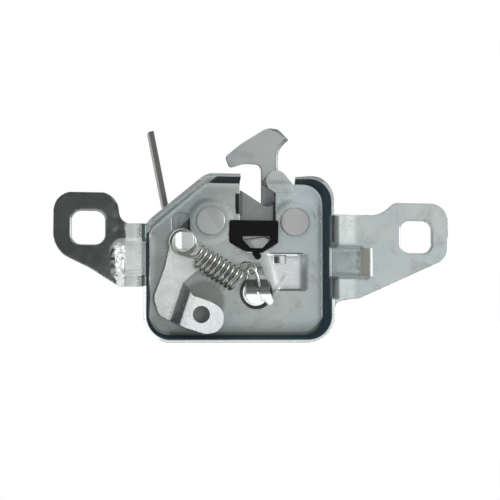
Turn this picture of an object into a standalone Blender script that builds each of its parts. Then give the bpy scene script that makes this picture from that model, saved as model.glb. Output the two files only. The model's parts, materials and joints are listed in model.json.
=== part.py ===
"""Bonnet latch: a pressed steel tray with bolt ears, a rotary claw, a pawl and a safety hook.

+Z is up, +X is right and the open side of the tray looks to -Y. Sizes are millimetres and MM turns
them into metres. The layout is drawn about the point midway between the two pivot rivets, on the
front face of the tray's floor, and the model's origin is on the left ear's bolt seat.
"""

import math

import bmesh
import bpy

MM = 0.001
ARC_STEP = math.radians(12)
ROUND_STEPS = 40
GAP = 0.3

# Sheet and tray
SHEET = 2.0
TRAY_LEFT = -50.2
TRAY_RIGHT = 34.4
TRAY_TOP = 18.6
TRAY_BOTTOM = -54.8
CHAMFER_LEFT_Z = -4.2
CHAMFER_TOP_X = -22.8
WALL_HEIGHT = 12.0
WALL_DRAFT = 1.1
FOOT_RADIUS = 3.0
WALL_GAP_LEFT = -8.6
WALL_GAP_RIGHT = 19.0
WALL_TAPER = 12.0

# Throat for the striker, and the window below it
THROAT_LEFT = -6.3
THROAT_RIGHT = 11.1
REST_LEVEL = 0.4
WINDOW_LEFT = -11.3
WINDOW_RIGHT = 12.3
WINDOW_SHOULDER_Z = -10.0
WINDOW_BOTTOM_Z = -14.9
WINDOW_BOTTOM_LEFT = -2.8
WINDOW_BOTTOM_RIGHT = 4.6
HORN_RADIUS = 5.4
HORN_X = 11.4
HORN_Z = 20.0

# Ears
EAR_FACE_Y = -9.0
BOLT_SPACING = 157.0
LEFT_EAR_END = 16.1
RIGHT_EAR_END = 16.7
BOLT_HOLE = 15.4
BOLT_HOLE_CORNER = 4.5
LEFT_HOLE_Z = -4.4
RIGHT_HOLE_Z = -7.1
EAR_SHELL = 0.05
STRAP_SLOPE_LENGTH = 12.0
BEND_RADIUS = 2.5
DART_WIDTH = 15.0
DART_REACH = 18.0
DART_DEPTH = 5.0

# Pivots
PIVOT_SPACING = 41.0
SHANK_RADIUS = 4.0
SLEEVE_WALL = 1.2
RIVET_HEAD_RADIUS = 6.9
RIVET_HEAD = 1.6
PAD_RADIUS = 10.4
PAD_HEIGHT = 0.5

# Layers behind the floor
LEVER_LAYER_START = 3.8
LEVER_SHEET = 3.5
SPRING_SPACE = 2.5
HOOK_SPACE = 2.0
HOOK_SHEET = 2.5
WASHER = 1.0

# Claw, drawn open
CLAW_TURN = math.radians(29.0)
SLOT_ANGLE = math.radians(147.6)
SLOT_ROUND = 3.9
PRONG_RADIUS = 31.4
TOOTH_CLEARANCE = 2.8
TOOTH_HEIGHT = 3.0
TOOTH_FACE_ANGLE = math.radians(186.0)
TOOTH_WIDTH_ANGLE = math.radians(12.0)
CLAW_BOSS = 12.0

# Pawl, lever and their post
PAWL_ENGAGE = math.radians(7.0)
PAWL_BOSS = 8.0
POST_X = -34.2
POST_Z = -10.4
POST_RADIUS = 2.6
POST_NECK = 3.4
POST_HEAD_WIDTH = 8.6
POST_HEAD_HEIGHT = 7.8
POST_HEAD = 2.2
POST_REACH = 15.0
SLOT_LEFT = -38.9
SLOT_RIGHT = -30.3
SLOT_TOP = 4.0
SLOT_BOTTOM = -18.0
SLOT_FLARE = 3.0
RELEASE_SHEET = 2.5
RELEASE_FOLD_ANGLE = math.radians(71.8)
RELEASE_FOLD_X = -36.9
RELEASE_FOLD_Z = -38.1
RISER_RUN = 6.2
RISER_HEIGHT = 9.4
EYE_X = -26.2
EYE_Z = -44.6
EYE_DIAMETER = 8.0

# Extension spring and its tongue
WIRE = 1.6
COIL_DIAMETER = 13.0
COIL_TURNS = 9
COIL_START = (-27.1, -17.7)
COIL_END = (-6.2, -28.7)
COIL_Y = -9.7
TONGUE_HOLE_X = 2.0
TONGUE_HOLE_Z = -34.1
TONGUE_HOLE_RADIUS = 6.6
TONGUE_ROOT_WIDTH = 8.0
TONGUE_HEAD_WIDTH = 11.6
TONGUE_FRONT_Y = -8.6
TONGUE_SLOT = 2.4

# Torsion springs
CLAW_WIRE = 0.9
HOOK_WIRE = 0.8

# Safety hook
HOOK_BOSS = 9.5
HOOK_TOP = 47.8
BLADE_ANGLE = math.radians(101.4)
BLADE_FOLD_X = -39.8
BLADE_FOLD_Z = 7.0
BLADE_TOP = 39.0
BLADE_FOOT = 16.5
BLADE_DEPTH = 11.0

# Pocket pressed into the floor and the stake of the back plate
POCKET_DEPTH = 1.4
STAKE_X = 13.4
STAKE_Z = -18.1
STAKE_WIDTH = 4.8
STAKE_HEIGHT = 3.6
LEG_WIDTH = 8.0

TOOTH_RADIUS = PIVOT_SPACING - PAWL_BOSS - TOOTH_CLEARANCE
LEFT = (-PIVOT_SPACING / 2, 0.0)
RIGHT = (PIVOT_SPACING / 2, 0.0)
LAYER_END = LEVER_LAYER_START + LEVER_SHEET
BACK_START = LAYER_END + GAP + SPRING_SPACE + GAP
BACK_END = BACK_START + SHEET
HOOK_START = BACK_END + GAP + HOOK_SPACE + GAP
HOOK_END = HOOK_START + HOOK_SHEET
SLEEVE_RADIUS = SHANK_RADIUS + GAP + SLEEVE_WALL
BORE_RADIUS = SLEEVE_RADIUS + GAP
SEAT_X = -BOLT_SPACING / 2
SEAT_Y = EAR_FACE_Y + SHEET - EAR_SHELL
SEAT_Z = LEFT_HOLE_Z + BOLT_HOLE / 2 + 3.5


for old in list(bpy.data.objects):
    bpy.data.objects.remove(old)

root = bpy.data.objects.new("latch_origin", None)
bpy.context.scene.collection.objects.link(root)
root.location = (-SEAT_X * MM, -SEAT_Y * MM, -SEAT_Z * MM)


# Drawing helpers


def material(name, colour, roughness, metallic):
    made = bpy.data.materials.new(name)
    made.use_nodes = True
    shader = made.node_tree.nodes["Principled BSDF"]
    shader.inputs["Base Color"].default_value = (*colour, 1.0)
    shader.inputs["Roughness"].default_value = roughness
    shader.inputs["Metallic"].default_value = metallic
    return made


def polar(centre, radius, angle):
    return (centre[0] + radius * math.cos(angle), centre[1] + radius * math.sin(angle))


def turned_about(point, centre, angle):
    dx, dz = point[0] - centre[0], point[1] - centre[1]
    cos, sin = math.cos(angle), math.sin(angle)
    return (centre[0] + dx * cos - dz * sin, centre[1] + dx * sin + dz * cos)


def arc(centre, radius, start, end, steps=None):
    steps = steps or max(2, math.ceil(abs(end - start) / ARC_STEP))
    return [polar(centre, radius, start + (end - start) * i / steps) for i in range(steps + 1)]


def circle(centre, radius, steps=ROUND_STEPS):
    return [polar(centre, radius, 2 * math.pi * i / steps) for i in range(steps)]


def corner_arc(before, corner, after, radius):
    """Centre, start angle and turn of the arc that rounds one corner."""
    ways = []
    for other in (before, after):
        dx, dz = other[0] - corner[0], other[1] - corner[1]
        length = math.hypot(dx, dz)
        ways.append((dx / length, dz / length))
    (ax, az), (bx, bz) = ways
    half = math.acos(max(-1.0, min(1.0, ax * bx + az * bz))) / 2
    mx, mz = ax + bx, az + bz
    reach = radius / math.sin(half) / math.hypot(mx, mz)
    centre = (corner[0] + mx * reach, corner[1] + mz * reach)
    touch = radius / math.tan(half)
    start = math.atan2(corner[1] + az * touch - centre[1], corner[0] + ax * touch - centre[0])
    end = math.atan2(corner[1] + bz * touch - centre[1], corner[0] + bx * touch - centre[0])
    turn = (end - start + math.pi) % (2 * math.pi) - math.pi
    return centre, start, turn


def rounded(corners, closed=True, steps=None):
    """A path through corners (x, z) or (x, z, radius), with the ones that have a radius rounded."""
    points = []
    count = len(corners)
    for i, corner in enumerate(corners):
        ends = not closed and i in (0, count - 1)
        if len(corner) == 2 or ends:
            points.append(corner[:2])
            continue
        centre, start, turn = corner_arc(corners[i - 1], corner, corners[(i + 1) % count], corner[2])
        points += arc(centre, corner[2], start, start + turn, steps)
    return points


def ribbon(path, thickness):
    """The closed section of a sheet of this thickness whose middle follows an open path."""
    line = rounded(path, closed=False)
    sides = ([], [])
    for i, point in enumerate(line):
        before, after = line[max(i - 1, 0)], line[min(i + 1, len(line) - 1)]
        dx, dy = after[0] - before[0], after[1] - before[1]
        length = math.hypot(dx, dy)
        for side, sign in zip(sides, (1, -1)):
            reach = sign * thickness / 2 / length
            side.append((point[0] - dy * reach, point[1] + dx * reach))
    return sides[0] + sides[1][::-1]


# Solid helpers


def finish(name, mesh, look=None):
    bmesh.ops.remove_doubles(mesh, verts=mesh.verts, dist=1e-7)
    bmesh.ops.recalc_face_normals(mesh, faces=mesh.faces)
    data = bpy.data.meshes.new(name)
    mesh.to_mesh(data)
    mesh.free()
    made = bpy.data.objects.new(name, data)
    bpy.context.scene.collection.objects.link(made)
    made.parent = root
    if look:
        data.materials.append(look)
    return made


def extrude(name, rows, far_rows, look=None):
    """A solid between two loops with as many points each, both closed by a flat face."""
    mesh = bmesh.new()
    near = [mesh.verts.new([value * MM for value in row]) for row in rows]
    far = [mesh.verts.new([value * MM for value in row]) for row in far_rows]
    mesh.faces.new(near)
    mesh.faces.new(far)
    for i in range(len(near)):
        j = (i + 1) % len(near)
        mesh.faces.new((near[i], near[j], far[j], far[i]))
    return finish(name, mesh, look)


def plate(name, outline, start, end, look=None):
    """An outline in the XZ plane made solid from y = start to y = end."""
    return extrude(name, [(x, start, z) for x, z in outline], [(x, end, z) for x, z in outline], look)


def tapered(name, outline, inner, start, end):
    return extrude(name, [(x, start, z) for x, z in outline], [(x, end, z) for x, z in inner])


def section(name, outline, origin, angle, start, end):
    """An outline (s, y) carried along a direction of the XZ plane; s points right of that direction."""
    cos, sin = math.cos(angle), math.sin(angle)
    loops = [
        [(origin[0] + s * sin + along * cos, y, origin[1] - s * cos + along * sin) for s, y in outline]
        for along in (start, end)
    ]
    return extrude(name, loops[0], loops[1])


def revolve(name, profile, centre, look=None):
    """A closed profile (radius, y) turned about the axis along Y through centre."""
    mesh = bmesh.new()
    ring = [mesh.verts.new(((centre[0] + radius) * MM, y * MM, centre[1] * MM)) for radius, y in profile]
    edges = [mesh.edges.new((ring[i - 1], ring[i])) for i in range(len(ring))]
    bmesh.ops.spin(
        mesh,
        geom=ring + edges,
        cent=(centre[0] * MM, 0, centre[1] * MM),
        axis=(0, 1, 0),
        angle=2 * math.pi,
        steps=ROUND_STEPS,
        use_merge=True,
    )
    bmesh.ops.dissolve_degenerate(mesh, edges=mesh.edges, dist=1e-7)
    made = finish(name, mesh, look)
    made.data.shade_smooth()
    made.data.set_sharp_from_angle(angle=math.radians(30))
    return made


def wire(name, points, thickness, look):
    """A round wire through points (x, y, z), with closed ends."""
    curve = bpy.data.curves.new(name, "CURVE")
    curve.dimensions = "3D"
    curve.bevel_depth = thickness / 2 * MM
    curve.bevel_resolution = 1
    curve.use_fill_caps = True
    spline = curve.splines.new("POLY")
    spline.points.add(len(points) - 1)
    for spot, point in zip(spline.points, points):
        spot.co = (*[value * MM for value in point], 1.0)
    curve.materials.append(look)
    made = bpy.data.objects.new(name, curve)
    bpy.context.scene.collection.objects.link(made)
    made.parent = root
    return made


def smooth(points, steps=4):
    """A Catmull-Rom curve through the points."""
    line = []
    padded = [points[0], *points, points[-1]]
    for i in range(1, len(padded) - 2):
        a, b, c, d = padded[i - 1 : i + 3]
        for step in range(steps):
            t = step / steps
            line.append(
                tuple(
                    0.5 * (2 * q + (r - p) * t + (2 * p - 5 * q + 4 * r - s) * t**2 + (3 * q - p - 3 * r + s) * t**3)
                    for p, q, r, s in zip(a, b, c, d)
                )
            )
    return line + [points[-1]]


def boolean(target, tool, operation):
    tool.hide_render = True
    tool.display_type = "WIRE"
    change = target.modifiers.new(tool.name, "BOOLEAN")
    change.operation = operation
    change.solver = "EXACT"
    change.object = tool


def cut(target, *tools):
    for tool in tools:
        boolean(target, tool, "DIFFERENCE")


def join(target, *tools):
    for tool in tools:
        boolean(target, tool, "UNION")


def common(target, tool):
    boolean(target, tool, "INTERSECT")
    return target


def box(name, x0, x1, y0, y1, z0, z1):
    return plate(name, [(x0, z0), (x1, z0), (x1, z1), (x0, z1)], y0, y1)


def bore(name, centre, radius, start, end):
    return plate(name, circle(centre, radius), start, end)


zinc = material("zinc_plate", (0.62, 0.65, 0.63), 0.32, 1.0)
steel = material("spring_steel", (0.20, 0.21, 0.22), 0.30, 1.0)
rubber = material("black_rubber", (0.02, 0.02, 0.022), 0.6, 0.0)


# Tray with its ears, one pressing


def tray_ring(offset):
    """The tray's outline moved outward by an offset, with as many points at every offset."""
    corners = [
        (TRAY_LEFT, CHAMFER_LEFT_Z, 7.0),
        (CHAMFER_TOP_X, TRAY_TOP, 6.0),
        (TRAY_RIGHT, TRAY_TOP, 9.0),
        (TRAY_RIGHT, TRAY_BOTTOM, 10.0),
        (TRAY_LEFT, TRAY_BOTTOM, 10.0),
    ]
    points = []
    for i, corner in enumerate(corners):
        centre, start, turn = corner_arc(corners[i - 1], corner, corners[(i + 1) % 5], corner[2])
        points += arc(centre, corner[2] + offset, start, start + turn)
    return points


def tray_shell():
    quarter = [math.radians(angle) for angle in range(0, 91, 15)]
    inner = [(FOOT_RADIUS * (math.sin(a) - 1), FOOT_RADIUS * (math.cos(a) - 1)) for a in quarter]
    outside = FOOT_RADIUS + SHEET
    outer = [(outside * math.sin(a) - FOOT_RADIUS, outside * math.cos(a) - FOOT_RADIUS) for a in quarter]
    rim = [(WALL_DRAFT, -WALL_HEIGHT), (WALL_DRAFT + SHEET, -WALL_HEIGHT)]
    mesh = bmesh.new()
    rings = [
        [mesh.verts.new((x * MM, y * MM, z * MM)) for x, z in tray_ring(offset)]
        for offset, y in inner + rim + outer[::-1]
    ]
    mesh.faces.new(rings[0])
    mesh.faces.new(rings[-1])
    for near, far in zip(rings, rings[1:]):
        for i in range(len(near)):
            j = (i + 1) % len(near)
            mesh.faces.new((near[i], near[j], far[j], far[i]))
    return finish("latch_plate", mesh, zinc)


def ear(side, wall_x, outline):
    """A strap bent outward from the wall's rim, and the bolt ear at its end."""
    sign = 1 if side == "right" else -1
    middle = wall_x + sign * SHEET / 2
    rim_x = middle + sign * WALL_DRAFT
    face = EAR_FACE_Y + SHEET / 2
    path = [
        (middle + sign * WALL_DRAFT * 0.3, -WALL_HEIGHT * 0.3),
        (rim_x, -WALL_HEIGHT + SHEET / 2, BEND_RADIUS),
        (rim_x + sign * STRAP_SLOPE_LENGTH, face, 8.0),
        (rim_x + sign * 80.0, face),
    ]
    sheet = section(side + "_ear", ribbon(path, SHEET - 2 * EAR_SHELL), (0, 0), math.pi / 2, -60, 30)
    return common(sheet, plate(side + "_ear_outline", rounded(outline), -20, 10))


def bolt_hole(side, z):
    sign = 1 if side == "right" else -1
    half = BOLT_HOLE / 2
    x = sign * BOLT_SPACING / 2
    corners = [(x + a * half, z + b * half, BOLT_HOLE_CORNER) for a, b in ((-1, -1), (1, -1), (1, 1), (-1, 1))]
    return plate(side + "_bolt_hole", rounded(corners), -20, 10)


def dart(side, wall_x, z, grow, name):
    """The wedge of a gusset dart pressed across the bend between wall and ear."""
    sign = 1 if side == "right" else -1
    foot = wall_x + sign * 0.6
    end = foot + sign * (DART_REACH + grow)
    depth = EAR_FACE_Y + DART_DEPTH + grow
    front = EAR_FACE_Y - 5.0 if grow == 0 else EAR_FACE_Y + 0.4
    start = foot - sign * 4.0 if grow == 0 else foot + sign * 0.3
    outline = [(start, front), (end, front), (end, EAR_FACE_Y + grow), (start, depth)]
    half = DART_WIDTH / 2 + grow
    return section(name, outline, (0, 0), math.pi / 2, z - half, z + half)


plate_body = tray_shell()
left_strap = (-31.8, -2.4)
right_strap = (-36.7, 3.1)
left_hole_x = -BOLT_SPACING / 2
right_hole_x = BOLT_SPACING / 2
left_end = left_hole_x - LEFT_EAR_END
right_end = right_hole_x + RIGHT_EAR_END
cut(
    plate_body,
    section(
        "wall_gap",
        [(THROAT_LEFT, 5), (THROAT_LEFT, 0), (WALL_GAP_LEFT, -20), (WALL_GAP_RIGHT, -20), (WALL_GAP_RIGHT, 5)],
        (0, 0), math.pi / 2, TRAY_TOP - FOOT_RADIUS - 1.0, 40,
    ),
    section(
        "wall_taper",
        [(WALL_GAP_RIGHT - 2, 0.5), (WALL_GAP_RIGHT - 2, -20), (WALL_GAP_RIGHT + WALL_TAPER, -20),
         (WALL_GAP_RIGHT + WALL_TAPER, -WALL_HEIGHT)],
        (0, 0), math.pi / 2, TRAY_TOP - FOOT_RADIUS - 1.0, 40,
    ),
    box("left_rim_trim", TRAY_LEFT - 8, TRAY_LEFT + 1, -20, -WALL_HEIGHT + 3.8, *left_strap),
    box("right_rim_trim", TRAY_RIGHT - 1, TRAY_RIGHT + 8, -20, -WALL_HEIGHT + 3.8, *right_strap),
)
left_ear = ear(
    "left",
    TRAY_LEFT,
    [
        (TRAY_LEFT + 2, left_strap[1]), (left_hole_x + 18.0, left_strap[1], 5),
        (left_hole_x + 12.0, 12.2, 5), (left_end, 12.2, 8.5), (left_end, -15.0, 5),
        (left_hole_x + 0.9, -23.2, 30), (left_hole_x + 14.5, left_strap[0], 4),
        (TRAY_LEFT + 2, left_strap[0]),
    ],
)
right_ear = ear(
    "right",
    TRAY_RIGHT,
    [
        (TRAY_RIGHT - 2, right_strap[1]), (right_hole_x - 18.0, right_strap[1], 12),
        (right_hole_x - 10.7, 9.2, 4), (right_end, 9.2, 9), (right_end - 1.2, -17.5, 8),
        (50.0, right_strap[0], 6), (TRAY_RIGHT - 2, right_strap[0]),
    ],
)
join(plate_body, left_ear, right_ear)
join(
    plate_body,
    dart("left", TRAY_LEFT, -18.5, 1.6, "left_dart_back"),
    dart("right", TRAY_RIGHT, -19.5, 1.6, "right_dart_back"),
)
cut(
    plate_body,
    dart("left", TRAY_LEFT, -18.5, 0, "left_dart"),
    dart("right", TRAY_RIGHT, -19.5, 0, "right_dart"),
    bolt_hole("left", LEFT_HOLE_Z),
    bolt_hole("right", RIGHT_HOLE_Z),
    box("throat", THROAT_LEFT, THROAT_RIGHT, -20, 5, REST_LEVEL - 1, 40),
)
window = [
    (WINDOW_LEFT, REST_LEVEL, 0.8),
    (WINDOW_RIGHT, REST_LEVEL, 0.8),
    (WINDOW_RIGHT, WINDOW_SHOULDER_Z, 2),
    (WINDOW_BOTTOM_RIGHT, WINDOW_BOTTOM_Z, 2),
    (WINDOW_BOTTOM_LEFT, WINDOW_BOTTOM_Z, 2),
    (WINDOW_LEFT, WINDOW_SHOULDER_Z, 2),
]
horn = [
    (THROAT_RIGHT, 5.0),
    (THROAT_RIGHT, 14.6),
    *arc((HORN_X, HORN_Z), HORN_RADIUS, math.radians(228), math.radians(48)),
    (WALL_GAP_RIGHT + 1.0, TRAY_TOP - 0.6),
    (WALL_GAP_RIGHT + 4.0, TRAY_TOP - 3.5),
    (WALL_GAP_RIGHT + 4.0, 5.0),
]
join(
    plate_body,
    plate("horn", horn, EAR_SHELL, SHEET - EAR_SHELL),
    plate("left_pad", circle(LEFT, PAD_RADIUS), -PAD_HEIGHT, 1.0),
)
right_pad = plate("right_pad", circle(RIGHT, PAD_RADIUS), -PAD_HEIGHT, 1.0)
cut(right_pad, box("right_pad_edge", 0, THROAT_RIGHT + 0.1, -3, 3, -20, 20))
join(plate_body, right_pad)
cut(plate_body, plate("window", rounded(window), -5, 5))


def tongue():
    """The forked spring tongue, lanced from the hole's upper edge and bent toward the front."""
    middle = TONGUE_FRONT_Y + SHEET / 2
    top = TONGUE_HOLE_Z + TONGUE_HOLE_RADIUS
    path = [(0, SHEET / 2), (4.4, SHEET / 2, 2.2), (7.6, middle, 2.2), (17.0, middle)]
    origin = (TONGUE_HOLE_X, top + 4.6)
    strip = section("tongue", ribbon(path, SHEET - 2 * EAR_SHELL), origin, 0.0, -8, 8)
    root_half = TONGUE_ROOT_WIDTH / 2
    head_half = TONGUE_HEAD_WIDTH / 2
    low = TONGUE_HOLE_Z - TONGUE_HOLE_RADIUS + 1.2
    outline = [
        (TONGUE_HOLE_X - root_half, top + 4.3),
        (TONGUE_HOLE_X - root_half, top - 2.0, 2),
        (TONGUE_HOLE_X - head_half, top - 5.5, 2),
        (TONGUE_HOLE_X - head_half + 1, low, 1.5),
        (TONGUE_HOLE_X + head_half - 1, low, 1.5),
        (TONGUE_HOLE_X + head_half, top - 5.5, 2),
        (TONGUE_HOLE_X + root_half, top - 2.0, 2),
        (TONGUE_HOLE_X + root_half, top + 4.3),
    ]
    return common(strip, plate("tongue_outline", rounded(outline), -20, 10))


pocket = [
    (3.6, -16.4, 1.5), (6.6, -13.8, 1.2), (9.6, -15.1, 2), (26.2, -15.1, 5), (26.2, -34.0, 5),
    (12.6, -34.0, 3), (8.2, -24.0, 6),
]
pocket_floor = [
    (6.0, -17.2, 1.0), (7.4, -16.2, 0.8), (9.8, -16.8, 2), (23.0, -16.8, 4), (23.0, -32.4, 4),
    (14.0, -32.4, 2.5), (10.2, -24.0, 5),
]
cut(plate_body, bore("tongue_hole", (TONGUE_HOLE_X, TONGUE_HOLE_Z), TONGUE_HOLE_RADIUS, -3, 5))
join(
    plate_body,
    tongue(),
    plate("pocket_back", rounded([(x, z, r + 0.5) for x, z, r in pocket]), 1.0, SHEET + POCKET_DEPTH),
)
slot_radius = 3.5
slot = [
    (SLOT_LEFT, SLOT_BOTTOM, slot_radius),
    (SLOT_RIGHT + SLOT_FLARE, SLOT_BOTTOM, slot_radius),
    (SLOT_RIGHT, (SLOT_TOP + POST_Z) / 2, slot_radius),
    (SLOT_RIGHT, SLOT_TOP, slot_radius),
    (SLOT_LEFT, SLOT_TOP, slot_radius),
]
half_width, half_height = STAKE_WIDTH / 2 + GAP, STAKE_HEIGHT / 2 + GAP
cut(
    plate_body,
    tapered("pocket", rounded(pocket, steps=5), rounded(pocket_floor, steps=5), -0.7, POCKET_DEPTH),
    plate("post_slot", rounded(slot), -5, 5),
    box("tongue_slot", TONGUE_HOLE_X - TONGUE_SLOT / 2, TONGUE_HOLE_X + TONGUE_SLOT / 2, -20, -1,
        TONGUE_HOLE_Z - 12, TONGUE_HOLE_Z + 0.8),
    box("stake_hole", STAKE_X - half_width, STAKE_X + half_width, -1, 6,
        STAKE_Z - half_height, STAKE_Z + half_height),
    bore("left_rivet_hole", LEFT, SHANK_RADIUS + GAP, -5, 5),
    bore("right_rivet_hole", RIGHT, SHANK_RADIUS + GAP, -5, 5),
)


# Rubber block that the striker lands on


buffer_front = -2.4
buffer_back = SHEET
inside = GAP
buffer = plate(
    "striker_buffer",
    rounded([
        (WINDOW_LEFT + inside, REST_LEVEL, 0.8),
        (WINDOW_RIGHT - inside, REST_LEVEL, 0.8),
        (WINDOW_RIGHT - inside, WINDOW_SHOULDER_Z + inside / 2, 1.8),
        (WINDOW_BOTTOM_RIGHT - inside / 2, WINDOW_BOTTOM_Z + inside, 1.8),
        (WINDOW_BOTTOM_LEFT + inside / 2, WINDOW_BOTTOM_Z + inside, 1.8),
        (WINDOW_LEFT + inside, WINDOW_SHOULDER_Z + inside / 2, 1.8),
    ]),
    buffer_front,
    buffer_back,
    rubber,
)
tail_root = WINDOW_BOTTOM_Z + inside + 1.0
join(
    buffer,
    plate(
        "buffer_tail",
        rounded([
            (-0.9, tail_root), (2.4, tail_root), (4.0, tail_root - 3.2, 1.0), (2.6, tail_root - 5.0, 1.0),
            (1.2, tail_root - 4.2, 1.0),
        ]),
        buffer_front + 0.6,
        -GAP,
    ),
)
cut(
    buffer,
    plate(
        "buffer_window",
        rounded([
            (-5.2, -6.9), (8.6, -6.9), (8.6, -8.8), (4.6, -12.9, 0.8), (-1.4, -12.9, 0.8), (-5.2, -8.8),
        ]),
        -5, 5,
    ),
)


# Pivot rivets, sleeves and washers


def rivet(name, centre, rear_start):
    front = -PAD_HEIGHT - GAP
    rear_end = rear_start + RIVET_HEAD
    head = RIVET_HEAD_RADIUS
    return revolve(
        name,
        [
            (0, front - RIVET_HEAD), (head - 0.4, front - RIVET_HEAD), (head, front - RIVET_HEAD + 0.4),
            (head, front), (SHANK_RADIUS, front), (SHANK_RADIUS, rear_start), (head, rear_start),
            (head, rear_end - 0.4), (head - 0.4, rear_end), (0, rear_end),
        ],
        centre,
        zinc,
    )


def ring(name, centre, inner, outer, start, end, look=zinc):
    return revolve(name, [(inner, start), (outer, start), (outer, end), (inner, end)], centre, look)


washer_radius = PAD_RADIUS - 1.4
rivet("claw_rivet", RIGHT, BACK_END + GAP)
rivet("hook_rivet", LEFT, HOOK_END + GAP + WASHER + GAP)
for piece, centre in (("claw", RIGHT), ("pawl", LEFT)):
    ring(piece + "_sleeve", centre, SHANK_RADIUS + GAP, SLEEVE_RADIUS, SHEET + GAP, BACK_START - GAP)
    ring(piece + "_washer", centre, BORE_RADIUS, washer_radius, SHEET + GAP, LEVER_LAYER_START - GAP)
revolve(
    "hook_sleeve",
    [
        (SHANK_RADIUS + GAP, BACK_END + GAP), (SLEEVE_RADIUS + 0.8, BACK_END + GAP),
        (SLEEVE_RADIUS + 0.8, HOOK_START - GAP), (SLEEVE_RADIUS, HOOK_START - GAP),
        (SLEEVE_RADIUS, HOOK_END), (SHANK_RADIUS + GAP, HOOK_END),
    ],
    LEFT,
    zinc,
)
ring("hook_washer", LEFT, SHANK_RADIUS + GAP, washer_radius, HOOK_END + GAP, HOOK_END + GAP + WASHER)


# Claw: the striker slot opens up and to the left, the tooth below it meets the pawl


def claw_outline():
    slot_corner = (11.6, math.tan(math.pi - SLOT_ANGLE) * (RIGHT[0] - 11.6) - 1.0)
    tip = (slot_corner[0] + 21.4 * math.cos(SLOT_ANGLE), slot_corner[1] + 21.4 * math.sin(SLOT_ANGLE))
    face = TOOTH_FACE_ANGLE
    root_radius = TOOTH_RADIUS - TOOTH_HEIGHT
    back = face + TOOTH_WIDTH_ANGLE
    return rounded([
        *arc(RIGHT, CLAW_BOSS, math.radians(-98), math.radians(40)),
        (20.5, 16.0, 5),
        (14.0, 22.6, 4),
        (8.2, 23.4, 2.5),
        (4.9, 18.9, 1.2),
        (slot_corner[0], 14.9, 1.2),
        (*slot_corner, SLOT_ROUND),
        (*tip, 1.0),
        (*polar(RIGHT, PRONG_RADIUS, math.radians(155)), 1.5),
        (*polar(RIGHT, root_radius, face - math.radians(5)), 1.5),
        (*polar(RIGHT, root_radius, face), 0.5),
        (*polar(RIGHT, TOOTH_RADIUS, face), 0.5),
        (*polar(RIGHT, TOOTH_RADIUS, back), 1.0),
        (*polar(RIGHT, 15.5, back + math.radians(9)), 3),
    ])


claw = plate("claw", claw_outline(), LEVER_LAYER_START, LAYER_END, zinc)
cut(claw, bore("claw_bore", RIGHT, BORE_RADIUS, LEVER_LAYER_START - 1, LAYER_END + 1))


# Pawl: drawn engaged in the latched claw, then turned back to where the claw holds it off


def pawl_outline():
    nose_angle = TOOTH_FACE_ANGLE + CLAW_TURN - math.radians(1.0)
    root_radius = TOOTH_RADIUS - TOOTH_HEIGHT
    nose = [(*polar(RIGHT, root_radius + 0.6, nose_angle), 0.6), (*polar(RIGHT, root_radius + 5.6, nose_angle), 1.2)]
    nose = [(*turned_about(point, LEFT, -PAWL_ENGAGE), point[2]) for point in nose]
    along = math.atan2(POST_Z - LEFT[1], POST_X - LEFT[0])
    post_arc = arc((POST_X, POST_Z), 5.6, along + 2.5 * math.pi, along + 1.5 * math.pi)
    boss = arc(LEFT, PAWL_BOSS, along + 1.5 * math.pi, math.radians(322))
    return rounded([*boss, *nose, (-18.0, -7.8, 4), *post_arc])


pawl = plate("pawl", pawl_outline(), LEVER_LAYER_START, LAYER_END, zinc)
cut(
    pawl,
    bore("pawl_bore", LEFT, BORE_RADIUS, LEVER_LAYER_START - 1, LAYER_END + 1),
    bore("pawl_post_hole", (POST_X, POST_Z), POST_RADIUS + GAP, LEVER_LAYER_START - 1, LAYER_END + 1),
)


# Release lever with its raised cable eye, and the post that joins it to the pawl


lever_back = -GAP
lever_front = lever_back - RELEASE_SHEET
lever_middle = lever_back - RELEASE_SHEET / 2
lever_path = [
    (-8, lever_middle),
    (0, lever_middle, 2.5),
    (RISER_RUN, lever_middle - RISER_HEIGHT, 2.5),
    (60, lever_middle - RISER_HEIGHT),
]
fold_bottom = (-40.5, -47.2)
fold_top = (-33.5, -29.4)
release = plate(
    "release_lever",
    rounded([
        *arc((POST_X, POST_Z), 6.5, math.radians(20), math.radians(200)),
        (-42.4, -22.7, 20), (-47.6, -36.5, 6), (-45.2, -44.6, 5), fold_bottom, fold_top,
        (-25.5, -22.3, 2), (-23.8, -18.5, 2.5),
    ]),
    lever_front,
    lever_back,
    zinc,
)
riser = section(
    "riser", ribbon(lever_path, RELEASE_SHEET - 2 * EAR_SHELL), (RELEASE_FOLD_X, RELEASE_FOLD_Z),
    RELEASE_FOLD_ANGLE, -60, 60,
)
tab_outline = [
    (-43.2, -44.6), fold_bottom, (-33.9, -50.6, 2), (-24.3, -53.6, 5), (-16.2, -52.6, 6.5), (-15.4, -42.4, 6),
    (-22.0, -38.6, 8), (-30.3, -35.8, 1.5), fold_top, (-37.0, -31.0),
]
join(release, common(riser, plate("tab_outline", rounded(tab_outline), -30, 10)))
cut(
    release,
    bore("eye", (EYE_X, EYE_Z), EYE_DIAMETER / 2, -20, -8),
    bore("lever_post_hole", (POST_X, POST_Z), POST_RADIUS + GAP, -6, 2),
)
post = revolve(
    "lever_post",
    [
        (0, -POST_REACH + 0.5), (POST_NECK, -POST_REACH + 0.5), (POST_NECK, lever_front - GAP),
        (POST_RADIUS, lever_front - GAP), (POST_RADIUS, 0.0), (POST_NECK, 0.0),
        (POST_NECK, LEVER_LAYER_START - GAP), (POST_RADIUS, LEVER_LAYER_START - GAP),
        (POST_RADIUS, LAYER_END + GAP), (POST_NECK + 1.2, LAYER_END + GAP),
        (POST_NECK + 1.2, LAYER_END + GAP + 1.2), (0, LAYER_END + GAP + 1.2),
    ],
    (POST_X, POST_Z),
    zinc,
)
wide, high = POST_HEAD_WIDTH / 2, POST_HEAD_HEIGHT / 2
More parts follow.
